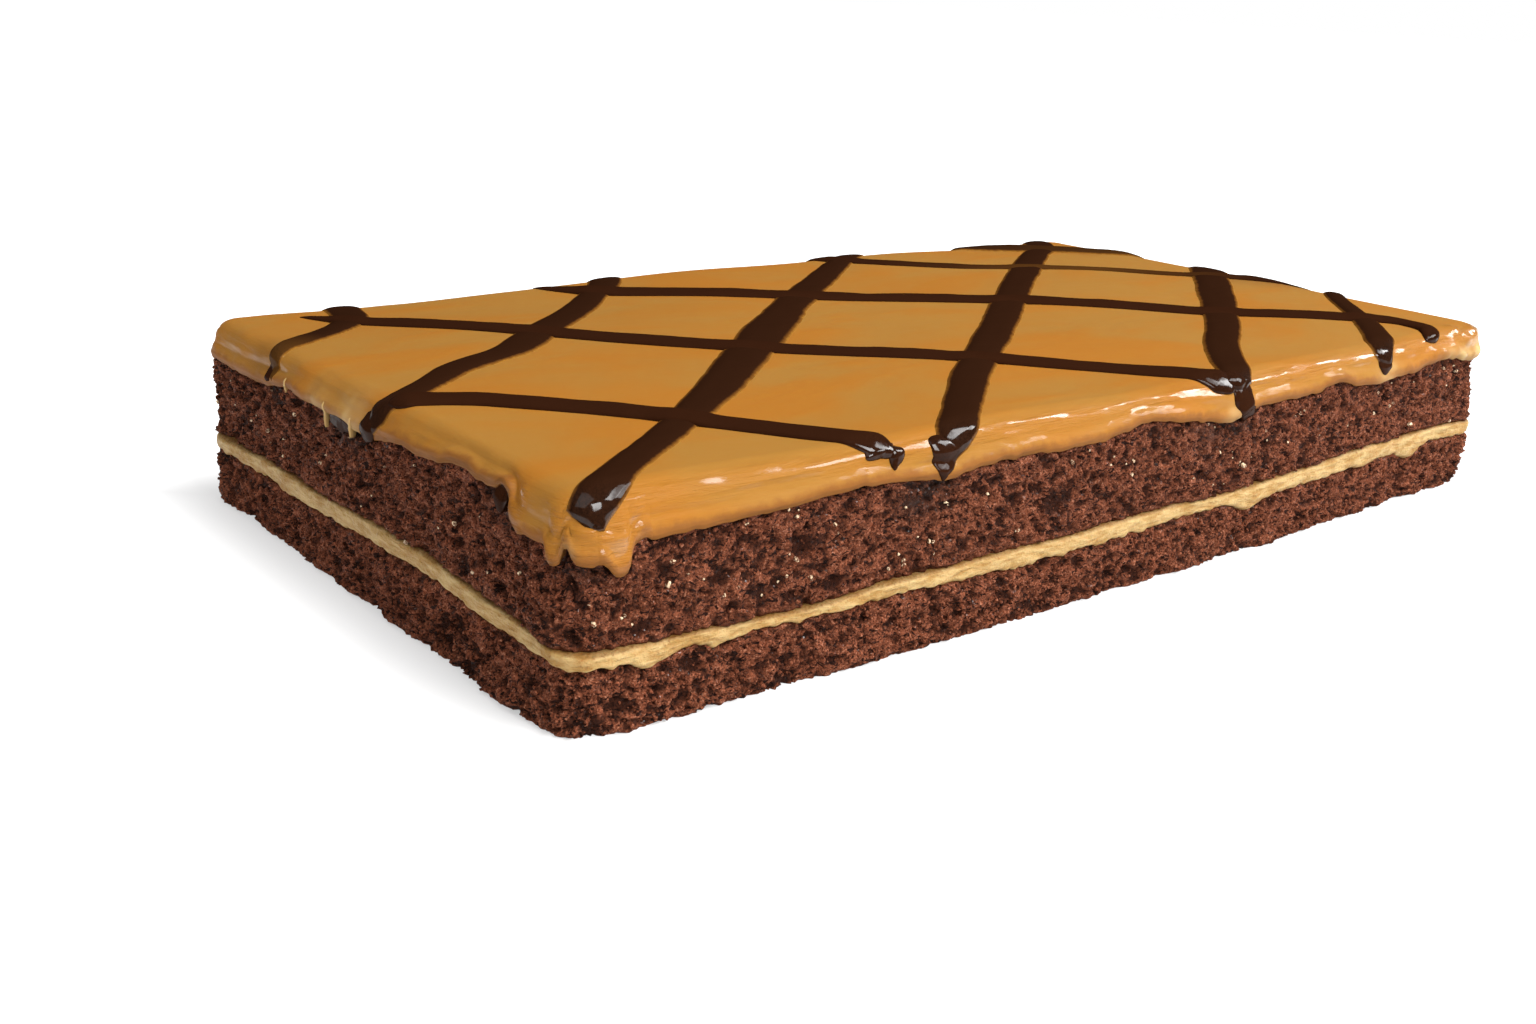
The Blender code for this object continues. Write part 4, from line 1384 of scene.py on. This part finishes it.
class MakeFilling(bpy.types.Operator):
    """Makes the layer of coffee cream between the sponges"""

    bl_idname = "mocha_cake.filling"
    bl_label = "Filling"

    def execute(self, context):
        cell = context.scene.mocha_shape.crumb_cell
        edge_x, edge_y = plan(0.0, cell)[0].T
        low = lower_seam(edge_x, edge_y)
        high = upper_seam(edge_x, edge_y)
        share = np.linspace(0.0, 1.0, CREAM_ROWS)[:, None]
        height = low + share * (high - low)
        bulge = CREAM_WAVE[0] * ripple(edge_x, edge_y, 0 * edge_x, CREAM_WAVE[1], 23)
        bulge = bulge + swell(edge_x, edge_y, CREAM_SWELLS)
        body = 1 - (2 * share - 1) ** 6
        (coarse_amount, coarse_size), (fine_amount, fine_size) = CREAM_GRAINS
        fine = coarse_amount * grains(edge_x, edge_y, height * 3, coarse_size, 82)
        fine = fine + fine_amount * grains(edge_x, edge_y, height, fine_size, 83)
        swelling = body * (bulge + fine + CREAM_LIFT)
        push = flare(edge_x, edge_y, height) + swelling - (1 - body) * EDGE_ROUNDING
        wall = ring(SPONGE_INSET, cell, height, push)
        first = ring(CORE_INSET, cell, LOWER_SEAM)[None]
        last = ring(CORE_INSET, cell, UPPER_SEAM)[None]
        soak = sum(soak_line(height, seam, *values) for seam, values in zip((high, low), CREAM_SOAK))
        pad = np.zeros((1, len(edge_x)))
        cream = Shells()
        cream.add(np.concatenate((first, wall, last)), soak=np.vstack((pad, soak, pad)))
        finish = cream_finish(context.scene.mocha_colours)
        place_piece(cream.build("cream_layer"), finish, "filling", "filling")
        return {"FINISHED"}


class MakeCrumbs(bpy.types.Operator):
    """Scatters crumbs over both sponges and bits of cream over the upper one"""

    bl_idname = "mocha_cake.crumbs"
    bl_label = "Crumbs"

    def execute(self, context):
        shape = context.scene.mocha_shape
        for number, (layer, low, high) in enumerate(CRUMB_HEIGHTS):
            sponge = bpy.data.objects[f"{layer}_sponge_crumb"]
            places, outward = spots_on(sponge, shape.crumb_count, 91 + number, low, high)
            crumbs = crumb_piece(
                f"{layer}_loose_crumbs", places, outward, shape.least_crumb, shape.greatest_crumb, 93 + number
            )
            place_piece(crumbs, sponge.data.materials[0], f"{layer}_sponge")
        upper = bpy.data.objects["upper_sponge_crumb"]
        places, outward = spots_on(upper, SPECK_CHOICES * shape.speck_count, 95, *SPECK_HEIGHTS)
        nearness = np.full(len(places), 1.0)
        for x, z in SPECK_CLUSTERS:
            gap = np.hypot(places[:, 0] - x * MM, (places[:, 2] - z * MM) * 1.4)
            nearness = np.where(places[:, 1] < 0, np.minimum(nearness, gap / (SPECK_REACH * MM)), nearness)
        chance = np.random.default_rng(97).uniform(0.0, 1.0, len(places)) ** 0.5
        chosen = np.argsort(nearness / chance)[: shape.speck_count]
        specks = crumb_piece("cream_specks", places[chosen], outward[chosen], *SPECK_SIZES, 96)
        place_piece(specks, bits_finish(context.scene.mocha_colours), "filling")
        return {"FINISHED"}


class MakeStage(bpy.types.Operator):
    """Makes the pale floor, the soft lights, the sky and the camera"""

    bl_idname = "mocha_cake.stage"
    bl_label = "Stage"

    def execute(self, context):
        studio = context.scene.mocha_studio
        self.make_floor(studio)
        for name, power, place, size in LIGHTS:
            self.make_light(name, place, size, getattr(studio, power))
        self.make_sky(context.scene, studio)
        self.make_camera(context.scene)
        context.scene.view_settings.view_transform = "Standard"
        context.scene.view_settings.look = "None"
        return {"FINISHED"}

    def make_floor(self, studio):
        mesh = bpy.data.meshes.new("floor")
        signs = ((-1, -1), (1, -1), (1, 1), (-1, 1))
        corners = [(x * FLOOR_HALF, y * FLOOR_HALF, 0.0) for x, y in signs]
        mesh.from_pydata(corners, [], [(0, 1, 2, 3)])
        floor = bpy.data.objects.new("floor", mesh)
        bpy.context.scene.collection.objects.link(floor)
        finish = Finish("pale_floor", Roughness=1.0, Specular_IOR_Level=0.0, Emission_Strength=1.0)
        # The floor glows though it is no lamp; within a short reach of the cake its glow dims, a painted
        # contact shadow
        past_end, past_side = (
            finish.node("ShaderNodeSeparateXYZ", {}, {0: finish.places}, output=axis).size() - reach / 2
            for axis, reach in (("X", LENGTH), ("Y", WIDTH))
        )
        gap = past_end.maths("MAXIMUM", past_end, past_side)
        glow_with_painted_shadow = gap.between(0.0, FLOOR_SHADOW_REACH) * (1.0 - studio.floor_glow_in_shadow) + studio.floor_glow_in_shadow
        light = finish.mix(glow_with_painted_shadow, (0.0, 0.0, 0.0), (1.0, 1.0, 1.0))
        finish.connect(Base_Color=(FLOOR_GREY,) * 3, Emission_Color=light)
        mesh.materials.append(finish.material)

    def make_light(self, name, place, size, power):
        light = bpy.data.lights.new(name, "AREA")
        light.shape = "SQUARE"
        light.size = size
        light.energy = power
        obj = bpy.data.objects.new(name, light)
        back = np.array(place) / np.linalg.norm(place)
        side = np.cross((0.0, 0.0, 1.0), back)
        side /= np.linalg.norm(side)
        axes = np.column_stack((side, np.cross(back, side), back))
        obj.matrix_world = Matrix.Translation(place) @ Matrix(axes.tolist()).to_4x4()
        bpy.context.scene.collection.objects.link(obj)

    def make_sky(self, scene, studio):
        world = bpy.data.worlds.new("studio")
        world.use_nodes = True
        tree = world.node_tree
        background = tree.nodes["Background"]
        coordinates = tree.nodes.new("ShaderNodeTexCoord")
        parts = tree.nodes.new("ShaderNodeSeparateXYZ")
        rise = tree.nodes.new("ShaderNodeMapRange")
        rise.inputs["From Min"].default_value = 0.1
        rise.inputs["From Max"].default_value = 0.9
        rise.inputs["To Min"].default_value = studio.horizon
        rise.inputs["To Max"].default_value = studio.sky
        tree.links.new(coordinates.outputs["Generated"], parts.inputs[0])
        tree.links.new(parts.outputs["Z"], rise.inputs["Value"])
        seen = tree.nodes.new("ShaderNodeLightPath")
        mirrored = tree.nodes.new("ShaderNodeMix")
        tree.links.new(seen.outputs["Is Glossy Ray"], mirrored.inputs[0])
        tree.links.new(rise.outputs["Result"], mirrored.inputs[2])
        mirrored.inputs[3].default_value = MIRRORED_SKY * studio.sky
        brightness = tree.nodes.new("ShaderNodeMix")
        tree.links.new(seen.outputs["Is Camera Ray"], brightness.inputs[0])
        tree.links.new(mirrored.outputs[0], brightness.inputs[2])
        brightness.inputs[3].default_value = 1.0
        tree.links.new(brightness.outputs[0], background.inputs["Strength"])
        background.inputs["Color"].default_value = (1.0, 1.0, 1.0, 1.0)
        scene.world = world

    def make_camera(self, scene):
        camera = bpy.data.objects.new("camera", bpy.data.cameras.new("camera"))
        camera.data.sensor_width = SENSOR_WIDTH
        camera.data.lens = CAMERA_LENS
        yaw, pitch, roll = CAMERA_YAW, CAMERA_PITCH, CAMERA_ROLL
        ahead = np.array(
            (math.cos(pitch) * math.sin(yaw), math.cos(pitch) * math.cos(yaw), -math.sin(pitch))
        )
        level = np.array((math.cos(yaw), -math.sin(yaw), 0.0))
        upright = np.cross(level, ahead)
        right = level * math.cos(roll) + upright * math.sin(roll)
        upwards = upright * math.cos(roll) - level * math.sin(roll)
        axes = Matrix(np.column_stack((right, upwards, -ahead)).tolist())
        camera.matrix_world = Matrix.Translation(CAMERA_PLACE) @ axes.to_4x4()
        scene.collection.objects.link(camera)
        scene.camera = camera


class MochaCakePanel(bpy.types.Panel):
    """The cake's makers, sizes, colours and lights"""

    bl_idname = "VIEW3D_PT_mocha_cake"
    bl_label = "Mocha Cake"
    bl_space_type = "VIEW_3D"
    bl_region_type = "UI"
    bl_category = "Mocha Cake"

    def draw(self, context):
        for operator in OPERATORS:
            self.layout.operator(operator.bl_idname)
        for group in (context.scene.mocha_shape, context.scene.mocha_colours, context.scene.mocha_studio):
            for key in group.bl_rna.properties.keys():
                if key not in ("rna_type", "name"):
                    self.layout.prop(group, key)


GROUPS = (MochaCakeShape, MochaCakeColours, MochaCakeStudio)
OPERATORS = (MakeSponges, MakeFilling, MakeIcing, MakeDrizzle, MakeCrumbs, MakeStage)


def register():
    for made in (*GROUPS, *OPERATORS, MochaCakePanel):
        bpy.utils.register_class(made)
    bpy.types.Scene.mocha_shape = bpy.props.PointerProperty(type=MochaCakeShape)
    bpy.types.Scene.mocha_colours = bpy.props.PointerProperty(type=MochaCakeColours)
    bpy.types.Scene.mocha_studio = bpy.props.PointerProperty(type=MochaCakeStudio)


def unregister():
    del bpy.types.Scene.mocha_studio
    del bpy.types.Scene.mocha_colours
    del bpy.types.Scene.mocha_shape
    for made in reversed((*GROUPS, *OPERATORS, MochaCakePanel)):
        bpy.utils.unregister_class(made)


def main():
    register()
    bpy.ops.mocha_cake.sponges()
    bpy.ops.mocha_cake.filling()
    bpy.ops.mocha_cake.icing()
    bpy.ops.mocha_cake.drizzle()
    bpy.ops.mocha_cake.crumbs()
    bpy.ops.mocha_cake.stage()


if __name__ == "__main__":
    main()
